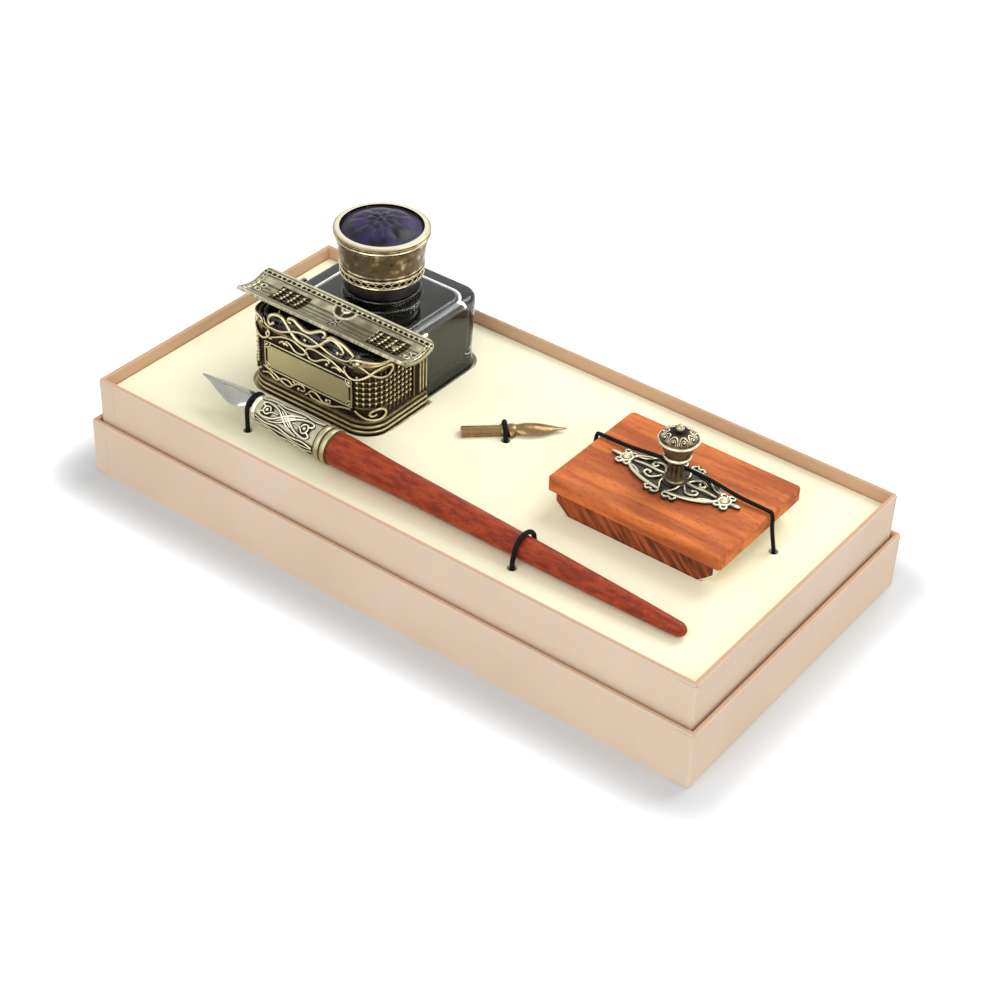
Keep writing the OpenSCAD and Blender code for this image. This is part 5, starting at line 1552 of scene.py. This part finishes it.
@dataclass
class DipPen:
    """Penholder with its pressed nib, lying on the insert. Distances run from the nib's point."""

    tip: Point = (-97.2, -42.7, 44.328)
    tilt: float = 1.6313
    nib_out: float = 26.9
    nib_in: float = 11.0
    nib_half_w: float = 5.6
    heel_r: float = 3.3
    sheet: float = 0.4
    wrap: float = 68.0
    slot_at: float = 10.22
    slot_l: float = 7.26
    grip_at: float = 26.9
    collar_at: float = 57.9
    front_r: float = 4.9
    rear_r: float = 6.1
    collet_r: float = 4.0
    tenon_r: float = 3.6
    collet_l: float = 18.0
    eye_turns: tuple[float, ...] = (-38.0, 82.0, 202.0)
    eyes: Flat = (7.2, 25.0)
    sides: int = 96
    grooves: tuple[Flat, ...] = ((57.95, 6.05), (60.6, 6.3), (63.05, 6.15))

    def point(self, s: float, y: float, z: float) -> Point:
        """Returns the place of a point s along the pen, y across and z above its axis."""
        t = radians(self.tilt)
        return (self.tip[0] + s * cos(t) + z * sin(t), self.tip[1] + y,
                self.tip[2] - s * sin(t) + z * cos(t))

    def around(self, s: float, angle: float, r: float) -> Point:
        """Returns the place at an angle round the axis: 0 is on top, positive to the rear."""
        return self.point(s, r * sin(angle), r * cos(angle))

    def grip_radius(self, s: float) -> float:
        """Returns the outer radius of the grip at a distance along the pen."""
        front, rear = self.front_r, self.rear_r
        marks = [(self.grip_at, front - 0.3), (self.grip_at + 8.0, front + 0.35),
                 (self.grip_at + 17.0, rear - 0.25), (self.grip_at + 25.0, rear - 0.05),
                 (self.collar_at, rear - 0.15)]
        for (s0, r0), (s1, r1) in zip(marks, marks[1:]):
            if s <= s1:
                t = clamp((s - s0) / (s1 - s0))
                return r0 + (r1 - r0) * (3 * t * t - 2 * t ** 3)
        return marks[-1][1]

    def on_grip(self, s: float, angle: float, d: float) -> Point:
        """Returns a place on the grip, with the angle in degrees and d outside its face."""
        return self.around(s, radians(angle), self.grip_radius(s) + d)

    def build(self, shop: Workshop) -> None:
        """Makes the nib and the cast grip, and dresses the collet, collar and handle."""
        shop.place(Tag("pen_nib_sheet", "pen_nib", Slot.NIB, ("pen_nib",)), self.nib())
        self.grip(shop)
        shop.dress("nib_collet", Slot.COLLET)
        self.collar(shop)
        shop.dress("pen_handle", Slot.HANDLE)

    def nib(self) -> Draft:
        """Returns the draft of the pressed nib with its slot and slit."""
        blade = [(0.0, 0.05, 0.01, 0.64), (0.08, 0.16, 0.02, 0.64), (0.16, 0.25, 0.04, 0.64),
                 (0.24, 0.39, 0.09, 0.65), (0.33, 0.55, 0.16, 0.67), (0.41, 0.68, 0.22, 0.71),
                 (0.49, 0.78, 0.31, 0.76), (0.57, 0.89, 0.38, 0.81), (0.65, 0.98, 0.44, 0.85),
                 (0.73, 1.0, 0.46, 0.89), (0.79, 0.94, 0.45, 0.93), (0.84, 0.8, 0.4, 0.95),
                 (0.88, 0.66, 0.35, 0.97), (0.92, 0.57, 0.34, 0.99)]
        wrap = radians(self.wrap)
        stations = [(a * self.nib_out, b * self.nib_half_w, c * self.nib_half_w, d * self.heel_r)
                    for a, b, c, d in blade]
        stations += [(s, self.heel_r * sin(wrap), self.heel_r * (1 - cos(wrap)), self.heel_r)
                     for s in (0.95 * self.nib_out, self.nib_out + self.nib_in)]
        return nib_sheet(stations, self.sheet, (self.slot_at, self.slot_l), self.point)

    def grip(self, shop: Workshop) -> None:
        """Makes the grip's body, its scrolls and its beads."""
        start, stop, sides = self.grip_at, self.collar_at, self.sides
        deep = start + 1 + self.collet_l
        outer = [(start, self.front_r - 0.7, 0.5)]
        outer += [(start + 1 - 0.9 * sin(a), self.front_r - 0.55 + 0.55 * cos(a), 1.0)
                  for a in (radians(turn) for turn in range(75, -76, -15))]
        outer += [(start + 2.1, self.front_r - 0.55, 0.0), (start + 2.4, self.front_r - 0.5, 0.1)]
        outer += [(s, self.grip_radius(s) - 0.3, 0.55) for s in (start + 2.4 + 0.5 * i for i in range(1, 56))]
        outer += [(stop - 0.6, self.rear_r - 0.45, 0.2), (stop, self.rear_r - 0.4, 0.2)]
        loop = [(s, r) for s, r, _ in outer]
        loop += [(stop, self.tenon_r), (deep, self.tenon_r), (deep, self.collet_r), (start, self.collet_r),
                 (start, self.front_r - 0.7)]
        relief = [[self.grip_tone(s, 360.0 * k / sides, lift) for k in range(sides)] for s, _, lift in outer]
        relief += [[0.3] * sides for _ in range(5)]
        draft = Draft()
        draft.grid(turned(loop, self.around, sides), relief, wrap=True)
        silver = CastMetal("grip silver", srgb(58, 50, 34), srgb(186, 180, 150), srgb(240, 236, 214), 0.0,
                           0.35)

        def tag(name: str, *replaced: str) -> Tag:
            """Returns the tag of a silver piece of the grip."""
            return Tag(name, "pen", Slot.SILVER, replaced, silver)

        shop.place(tag("pen_grip_body", "pen_grip"), draft, 50.0)
        routes = self.scrolls()
        edges = [([(s, turn, d - 0.34) for s, turn, d in route], half + 0.2) for route, half in routes]
        shop.strands(tag("pen_grip_lines"), edges, self.on_grip, relief=0.0, taper=0.2, steps=5)
        shop.strands(tag("pen_grip_scrolls"), routes, self.on_grip, taper=0.25, steps=5)
        beads = [(start + eye, turn, -0.1, 0.72) for turn in self.eye_turns for eye in self.eyes]
        shop.beads(tag("pen_grip_beads"), beads, self.on_grip)

    def collar(self, shop: Workshop) -> None:
        """Dresses the collar and darkens the grooves beside its two rings."""
        finish = CastMetal("collar silver gilt", srgb(54, 46, 30), srgb(176, 168, 132),
                           srgb(236, 230, 202), 0.5, 0.3)
        shop.dress("pen_collar", finish)
        rings = [([(s, 10.0 * k, r) for k in range(37)], 0.34) for s, r in self.grooves]
        shop.strands(Tag("pen_collar_grooves", "pen", Slot.SILVER, (), finish), rings,
                     lambda s, turn, r: self.around(s, radians(turn), r), relief=-0.5, steps=2)

    def grip_tone(self, s: float, angle: float, lift: float) -> float:
        """Returns the relief value on the grip's ground: dark beside the scrolls."""
        if s < self.grip_at + 2.3:
            return lift
        tone = 0.62
        for turn in self.eye_turns:
            off = (angle - turn + 180.0) % 360.0 - 180.0
            for middle in (self.grip_at + eye for eye in self.eyes):
                near = hypot(s - middle, off * 0.095)
                if near < 3.0:
                    tone = min(tone, 0.05 if near < 2.6 else 0.3)
            if abs(s - self.grip_at - 16.0) < 3.2 and abs(off) < 24.0:
                tone = min(tone, 0.1)
            if 44.0 < abs(off) <= 60.0:
                tone = min(tone, 0.12)
        return tone

    def scrolls(self) -> list[tuple[list[Point], float]]:
        """Returns the routes of the scrolls: eyes at both ends, crossing straps between them."""
        routes = []

        def run(s: float, turn: float, way: float, side: float, rows: Sequence[Point], half: float) -> None:
            """Adds a route of (step along, turn, height) rows from a place on the grip."""
            routes.append(([(s + way * step, turn + side * angle, rise) for step, angle, rise in rows], half))

        stem = [(2.8, 0.0, 0.0), (5.4, 0.0, 0.0)]
        whip = [(-1.0, 9.0, 0.0), (-2.9, 18.0, 0.0), (-1.6, 30.0, 0.0), (1.8, 27.0, 0.0), (4.8, 16.0, 0.0),
                (8.6, -9.0, 0.05), (11.2, -24.0, 0.0), (15.6, -38.0, 0.0)]
        cross = [(13.0, 20.0, -0.05), (16.1, 0.0, 0.0), (19.4, -20.0, -0.05)]
        strap = [(2.6, 42.0, 0.0), (8.0, 50.0, 0.0), (14.0, 40.0, 0.0), (20.0, 50.0, 0.0), (26.0, 44.0, 0.0),
                 (30.2, 54.0, 0.0)]
        seam = [(3.0, 60.0, -0.1), (9.0, 57.0, -0.1), (16.0, 63.0, -0.1), (23.0, 57.0, -0.1),
                (30.0, 62.0, -0.1)]
        for turn in self.eye_turns:
            for eye, way in zip(self.eyes, (1, -1)):
                s = self.grip_at + eye
                ring = [(s + way * 1.5 * cos(t), turn + 16.0 * sin(t), -0.05)
                        for t in (2 * pi * k / 12 for k in range(12))]
                routes.append((ring + [(s + way * step, turn, rise) for step, _, rise in stem], 0.34))
                for side in (-1, 1):
                    run(s, turn, way, side, whip, 0.42)
            for side in (-1, 1):
                run(self.grip_at, turn, 1, side, cross, 0.34)
                run(self.grip_at, turn, 1, side, strap, 0.4)
            run(self.grip_at, turn, 1, 1, seam, 0.32)
        return routes


def nib_sheet(stations: Sequence[tuple[float, float, float, float]], thick: float, slot: Flat,
              place: Placing) -> Draft:
    """Returns a pressed nib as a thin curved sheet with a slot and a slit.

    Args:
        stations: (distance, half width, drop of the edges, crest height) along it.
        thick: thickness of the sheet.
        slot: where the slot starts and how long it is.
        place: turns (distance, across, up) into a place.

    Returns:
        The draft of the closed sheet.
    """
    fine = smooth_route(stations, 5)
    slot_half, slit_half = 0.33, 0.05
    marks = sorted({round(f[0], 3) for f in fine} | {slot[0], slot[0] + slot[1]})
    rows = []
    for s in marks:
        for f, g in zip(fine, fine[1:]):
            if f[0] <= s <= g[0] + 1e-6:
                t = clamp((s - f[0]) / max(g[0] - f[0], 1e-6))
                rows.append((s,) + tuple(p + (q - p) * t for p, q in zip(f[1:], g[1:])))
                break
    steps = 9
    draft = Draft()

    def ring(row: tuple[float, ...], cut: float, side: int, inset: float) -> list[Point]:
        """Returns the points from the cut's edge to the sheet's edge on one side."""
        s, half, drop, crest = row
        reach = 2 * atan(drop / half)
        roll = half / sin(reach)
        first = min(asin(min(cut / roll, 0.9)), 0.6 * reach)
        out = []
        for k in range(steps + 1):
            a = first + (reach - first) * k / steps
            r = roll - inset
            out.append(place(s, side * r * sin(a), crest - roll + r * cos(a)))
        return out

    for side in (-1, 1):
        loops = []
        for row in rows:
            s = row[0]
            cut = 0.0
            if slot[0] <= s <= slot[0] + slot[1]:
                end = min(s - slot[0], slot[0] + slot[1] - s)
                cut = slot_half * sqrt(clamp(1 - (1 - clamp(end / slot_half)) ** 2)) + slit_half
            elif s < slot[0]:
                cut = min(slit_half, 0.35 * row[1])
            loops.append(ring(row, cut, side, 0.0) + list(reversed(ring(row, cut, side, thick))))
        draft.closed(loops)
    return draft


# ---------- Spare nib ----------


@dataclass
class SpareNib:
    """Bronze nib with two ears, lying on its edges on the insert."""

    x: float = -11.7
    y: float = -0.3
    z: float = 35.7
    turn: float = 42.8
    length: float = 38.2
    half_w: float = 3.6
    sheet: float = 0.4
    slot: Flat = (8.6, 3.63)

    def place(self, s: float, across: float, up: float) -> Point:
        """Returns the place of a point s from the nib's tip."""
        a = radians(self.turn)
        along = self.length - s
        return (self.x + along * cos(a) - across * sin(a),
                self.y + along * sin(a) + across * cos(a), self.z + up)

    def build(self, shop: Workshop) -> None:
        """Makes the nib."""
        form = [(0.0, 0.07, 0.02, 0.34), (0.065, 0.23, 0.07, 0.4), (0.13, 0.47, 0.17, 0.5),
                (0.21, 0.83, 0.36, 0.66), (0.28, 0.97, 0.49, 0.78), (0.34, 1.0, 0.53, 0.84),
                (0.405, 0.92, 0.53, 0.87), (0.45, 0.77, 0.54, 0.83), (0.485, 0.7, 0.6, 0.81),
                (0.505, 0.95, 0.78, 0.85), (0.53, 1.08, 0.82, 0.86), (0.55, 0.95, 0.78, 0.85),
                (0.575, 0.66, 0.77, 0.81), (1.0, 0.66, 0.78, 0.81)]
        stations = [(a * self.length, b * self.half_w, c * self.half_w, d * self.half_w)
                    for a, b, c, d in form]
        shop.place(Tag("spare_nib_sheet", "spare_nib", Slot.BRONZE, ("spare_nib",)),
                   nib_sheet(stations, self.sheet, self.slot, self.place))


# ---------- Rocker blotter ----------


@dataclass
class RockerBlotter:
    """Wooden rocker with its board, cast plate and blotting paper."""

    x: float = BLOTTER_X
    y: float = BLOTTER_Y
    plate_z: float = 50.4
    plate_half: float = 19.8

    def place(self, x: float, y: float, d: float) -> Point:
        """Returns the place of a point on the cast plate, d above it."""
        return (self.x + x, self.y + y, self.plate_z + d)

    def build(self, shop: Workshop) -> None:
        """Dresses the wood and the paper and casts the plate's relief."""
        slanted = Wood("slanted rocker wood", srgb(172, 88, 46), srgb(98, 46, 22), (0.1, 1.0, 1.0),
                       (0.0, radians(-48.0), 0.0), 640.0, 900.0, 0.3, 0.0, 0.6)
        shop.dress("blotter_board", Slot.BLOTTER)
        shop.dress("blotter_rocker", slanted)
        shop.dress("rocker_insert", Slot.BUSH)
        shop.dress("blotting_paper", Slot.BLOTTING)
        shop.dress("blotter_fretplate", CastMetal("plate ground", srgb(40, 38, 34), srgb(120, 114, 100),
                                                  srgb(200, 190, 160), 0.25, 0.5))
        shop.dress("fretplate_pins", CastMetal("pin gilt", srgb(90, 80, 50), srgb(220, 204, 150),
                                               srgb(250, 238, 200), 0.8, 0.2))
        self.scrolls(shop)
        self.beads(shop)

    def scrolls(self, shop: Workshop) -> None:
        """Makes the rounded border, rib and scrolls that stand on the plate."""
        half = self.plate_half
        quarter = [
            ([(17.6, 2.0), (15.0, 4.4), (10.0, 6.7), (5.0, 7.9), (1.0, 8.3)], 0.85),
            ([(4.6, 1.2), (6.6, 3.9), (8.6, 4.4), (10.4, 3.4), (10.3, 1.9), (9.0, 1.6), (8.4, 2.4)], 0.55),
            ([(17.4, 2.6), (14.6, 3.0), (12.2, 4.6), (11.0, 5.9)], 0.5),
            ([(3.4, 2.6), (3.0, 5.0), (1.4, 7.6)], 0.5)]
        for cx, cy in ((half + 1.3, 3.1 - 0.2), (half + -1.6, 2.7 - 0.2)):
            quarter.append(([(cx + 1.15 * cos(t), cy + 1.0 * sin(t))
                             for t in (2 * pi * k / 8 for k in range(9))], 0.6))
        middle = [
            ([(4.4, 0.6), (8.0, 0.3), (12.0, 0.5), (16.6, 0.0)], 0.6),
            ([(half + 2.3, 0.0), (half + 4.2, 0.0), (half + 6.0, 0.0)], 0.8),
            ([(half + 2.1 * cos(t), 2.1 * sin(t)) for t in
              (2 * pi * k / 12 for k in range(13))], 0.55)]
        wing = [([(1.0, 8.4), (1.2, 9.8), (2.6, 10.6), (3.6, 9.6), (5.0, 10.4), (6.0, 9.2), (5.4, 8.2)], 0.5)]
        routes = []
        for sx in (-1, 1):
            for sy, group in ((-1, quarter), (1, quarter), (1, middle), (-1, wing), (1, wing)):
                routes += [([(sx * a, sy * b) for a, b in route], size) for route, size in group]
        shop.strands(Tag("blotter_plate_scrolls", "blotter", Slot.SILVER), routes, self.place, out=-0.15,
                     taper=0.3, steps=5)

    def beads(self, shop: Workshop) -> None:
        """Makes the beads at the ends of the curls."""
        spots = [(sx * a, sy * b, -0.1, radius) for sx in (-1, 1) for sy in (-1, 1)
                 for a, b, radius in ((6.0, 9.3, 0.7), (2.5, 10.6, 0.65), (8.5, 2.4, 0.65))]
        shop.beads(Tag("blotter_plate_beads", "blotter", Slot.SILVER), spots, self.place)


@dataclass
class BlotterKnob:
    """Turned and chased knob on the blotter's screw."""

    x: float = BLOTTER_X
    y: float = BLOTTER_Y
    foot_z: float = 50.43
    height: float = 19.6
    foot_r: float = 3.5
    neck_r: float = 2.9
    head_r: float = 7.3
    flutes: int = 10
    arches: int = 9
    sides: int = 144

    @property
    def head_z(self) -> float:
        """Height of the head's widest place above the foot."""
        return self.height - 3.1

    @property
    def crown(self) -> list[Point]:
        """Marks of (height, radius, relief) up the domed top."""
        head = self.head_z
        return [(head + 0.65, self.head_r - 0.7, 0.2), (head + 1.2, 6.1, 0.3), (head + 2.0, 5.0, 0.3),
                (self.height - 0.45, 3.7, 0.25), (self.height - 0.1, 2.6, 0.1), (self.height, 1.6, 0.0)]

    def profile(self) -> list[Point]:
        """Returns (height, radius, relief) up the knob."""
        head = self.head_z
        low = [(0.0, self.foot_r, 0.4), (0.5, self.foot_r, 0.8)]
        neck = smooth_route([(0.9, self.foot_r - 0.4, 0.3), (3.0, self.neck_r, 0.3),
                             (5.4, self.neck_r - 0.1, 0.28), (7.6, self.neck_r + 0.2, 0.25),
                             (8.8, 4.1, 0.2)], 5)
        ring = [(9.7 + 0.6 * sin(radians(a)), 4.3 + 0.55 * cos(radians(a)), 0.95)
                for a in range(-60, 61, 20)]
        cup = smooth_route([(10.5, 4.4, 0.1), (11.6, 4.9, 0.3), (13.2, 5.3, 0.42), (14.8, 5.9, 0.45),
                            (head - 0.7, self.head_r - 0.5, 0.3)], 5)
        rim = [(head - 0.4, self.head_r - 0.1, 0.6), (head - 0.1, self.head_r, 1.0),
               (head + 0.2, self.head_r, 1.0), (head + 0.5, self.head_r - 0.35, 0.9)]
        return low + neck + ring + cup + rim + smooth_route(self.crown, 4)

    def build(self, shop: Workshop) -> None:
        """Makes the knob with its flutes and scallop arches, and dresses the finial and screw."""
        axis = upright(self.x, self.y)
        outer = self.profile()
        rows, relief = [], []
        for z, r, lift in outer:
            row, tone = [], []
            for k in range(self.sides):
                a = 2 * pi * k / self.sides
                wave = 0.5 + 0.5 * cos(self.flutes * a)
                fluted = 0.5 * bump(z - 4.6, 4.0) if z < 9.0 else 0.0
                row.append(axis(self.foot_z + z, a, r - 0.28 * fluted * (1 - wave)))
                tone.append(lift + 0.35 * fluted * (wave - 0.4))
            rows.append(row)
            relief.append(tone)
        for z in (self.height, self.height - 0.6):
            rows += turned([(self.foot_z + z, 0.4)], axis, self.sides)
            relief.append([0.1] * self.sides)
        finish = CastMetal("knob silver gilt", srgb(38, 32, 24), srgb(128, 112, 82), srgb(226, 216, 184),
                           0.0, 0.6)
        shop.place(Tag("blotter_knob_cast", "knob", Slot.SILVER, ("blotter_knob",), finish),
                   Draft().closed(rows, relief), 60.0)
        routes, spots = [], []
        for k in range(self.arches):
            middle = 2 * pi * k / self.arches
            wide = 0.92 * pi / self.arches
            for size, half in ((1.0, 0.32), (0.62, 0.2)):
                routes.append(([(self.head_r - 0.9 - 2.9 * (size * sqrt(max(0.0, 1 - t * t))),
                                 middle + wide * size * t, 0.05)
                                for t in (-1.0, -0.8, -0.4, 0.0, 0.4, 0.8, 1.0)], half))
            spots.append((self.head_r - 1.8, middle, 0.1, 0.6))
        shop.strands(Tag("blotter_knob_arches", "knob", Slot.SILVER, (), finish), routes, self.on_top,
                     sides=6, taper=0.15, steps=3)
        shop.beads(Tag("blotter_knob_beads", "knob", Slot.SILVER, (), finish), spots, self.on_top)
        shop.dress("knob_finial", CastMetal("finial silver", srgb(80, 74, 58), srgb(170, 162, 134),
                                            srgb(206, 198, 170), 0.6, 0.3))
        shop.dress("knob_screw", Slot.SCREW)

    def on_top(self, r: float, angle: float, h: float) -> Point:
        """Returns a place on the domed top, at a radius and angle and h above it."""
        return (self.x + r * cos(angle), self.y + r * sin(angle), self.top_at(r) + h)

    def top_at(self, r: float) -> float:
        """Returns the height of the knob's domed top at a radius."""
        for (z0, r0, _), (z1, r1, _) in zip(self.crown, self.crown[1:]):
            if r >= r1:
                t = clamp((r0 - r) / (r0 - r1))
                return self.foot_z + z0 + (z1 - z0) * t
        return self.foot_z + self.height


# ---------- Elastic ties ----------


@dataclass
class ElasticTies:
    """Four knotted elastic ties that hold the pen, the spare nib and the blotter."""

    radius: float = 0.87
    stretched: float = 0.72
    face_z: float = FACE_Z
    seat_z: float = SEAT_Z
    gap: float = 0.3
    hole_r: float = 1.7
    knot_r: float = 2.0
    front_back: float = 1.3
    rear_at: float = 145.5
    handle_at: float = 63.3
    handle_l: float = 146.6
    handle_r: Flat = (6.2, 2.95)
    nib_at: float = 15.7
    nib_rise: float = 0.8
    nib_half: float = 2.4
    board_w: float = 69.6
    board_z: Flat = (43.9, 49.4)

    @property
    def knot_z(self) -> float:
        """Height of the knots, drawn up against the lower edges of their holes."""
        return self.seat_z - sqrt(self.knot_r ** 2 - self.hole_r ** 2) - 0.05

    def over(self, middle: Point, rr: float, foot: float, side: Flat) -> list[Point]:
        """Returns a half turn over something round.

        Args:
            middle: centre of the half turn.
            rr: its radius.
            foot: how far its feet stand out.
            side: level direction across what it holds.

        Returns:
            The route, feet included.
        """
        def at(across: float, up: float) -> Point:
            """Returns the place across and above the middle."""
            return (middle[0] + across * side[0], middle[1] + across * side[1], middle[2] + up)

        turn = [at(-rr * cos(radians(a)), rr * sin(radians(a)))
                for a in range(0, 181, 20)]
        return [at(-rr - foot, -2.0)] + turn + [at(rr + foot, -2.0)]

    def routes(self, pen: DipPen, spare: SpareNib) -> dict[str, tuple[list[Point], str]]:
        """Returns each tie's route above the face, with the joint that frees it."""
        front = self.over(pen.point(pen.nib_out - self.front_back, 0, 0),
                          pen.heel_r + self.gap + self.radius, 0.1, (0.0, 1.0))
        rear = self.over(pen.point(self.rear_at, 0, 0), self.thin + 0.1 + self.gap + self.radius, 0.7,
                         (0.0, 1.0))
        return {"pen_tie_front": (front, "pen_lift"), "pen_tie_rear": (rear, "pen_lift"),
                "spare_nib_tie": (self.nib_route(spare), "spare_nib_lift"),
                "blotter_tie": (self.board_route(), "blotter_lift")}

    @property
    def thin(self) -> float:
        """Radius of the handle under the rear tie."""
        share = (self.rear_at - self.handle_at) / self.handle_l
        return self.handle_r[0] + (self.handle_r[1] - self.handle_r[0]) * share

    def nib_route(self, spare: SpareNib) -> list[Point]:
        """Returns the route over the spare nib, with its feet beside the nib's edges."""
        a = radians(spare.turn)
        centre = (spare.x + self.nib_at * cos(a), spare.y + self.nib_at * sin(a),
                  self.face_z + self.nib_rise)
        nib = self.over(centre, self.nib_half + self.gap + self.radius, self.radius,
                        (-sin(a), cos(a)))
        return [(nib[0][0], nib[0][1], centre[2])] + nib[1:-1] + [(nib[-1][0], nib[-1][1], centre[2])]

    def board_route(self) -> list[Point]:
        """Returns the route over the blotter's board, beside the knob's foot."""
        side_x = self.board_w / 2 + self.gap + self.radius
        low, high = self.board_z
        top = high + self.gap + self.radius
        x, y = BLOTTER_X, BLOTTER_Y + BlotterKnob.foot_r + self.gap + self.radius + 0.1
        half = [(side_x + 2, self.face_z), (side_x + 0.4, low), (side_x, high - 1), (side_x - 0.6, top - 0.3),
                (side_x - 2, top), (RockerBlotter.plate_half / 2 + 12, top + 0.4),
                (9.0, top + 1.0 + self.radius)]
        return [(x - p, y, z) for p, z in half] + [(x + p, y, z) for p, z in reversed(half)]

    def build(self, shop: Workshop, pen: DipPen, spare: SpareNib) -> None:
        """Makes the four ties with their knots."""
        def level(x: float, y: float, z: float) -> Point:
            """Returns the place itself."""
            return (x, y, z)

        for node, (route, joint) in self.routes(pen, spare).items():
            first, last = route[0][:2], route[-1][:2]
            whole = [first + (self.knot_z,), first + (self.face_z,)]
            whole += [p for p in route if p[2] > self.face_z + 0.05]
            whole += [last + (self.face_z,), last + (self.knot_z,)]
            half = self.stretched if node == "blotter_tie" else self.radius
            piece = shop.strands(Tag(node + "_cord", "insert", Slot.ELASTIC, (node,)), [(whole, half)], level,
                                 sides=12, relief=0.5)
            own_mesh(piece)
            shop.beads(Tag(node + "_knots", "insert", Slot.ELASTIC),
                       [end + (self.knot_z, self.knot_r) for end in (first, last)], level, sides=16)


def main() -> None:
    """Builds the studio and every piece of the set."""
    logging.basicConfig(level=logging.INFO, format="%(name)s: %(message)s")
    scene = bpy.context.scene
    for thing in list(scene.objects):
        bpy.data.objects.remove(thing)
    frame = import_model()
    scene.view_settings.view_transform = "Standard"
    Studio().build()
    shop = Workshop(frame, Palette())
    PresentationCase().build(shop)
    InkBottle().build(shop)
    CastSurround().build(shop)
    PenRest().build(shop)
    ScrewCap().build(shop)
    pen, spare = DipPen(), SpareNib()
    pen.build(shop)
    spare.build(shop)
    RockerBlotter().build(shop)
    BlotterKnob().build(shop)
    ElasticTies().build(shop, pen, spare)


if __name__ == "__main__":
    main()
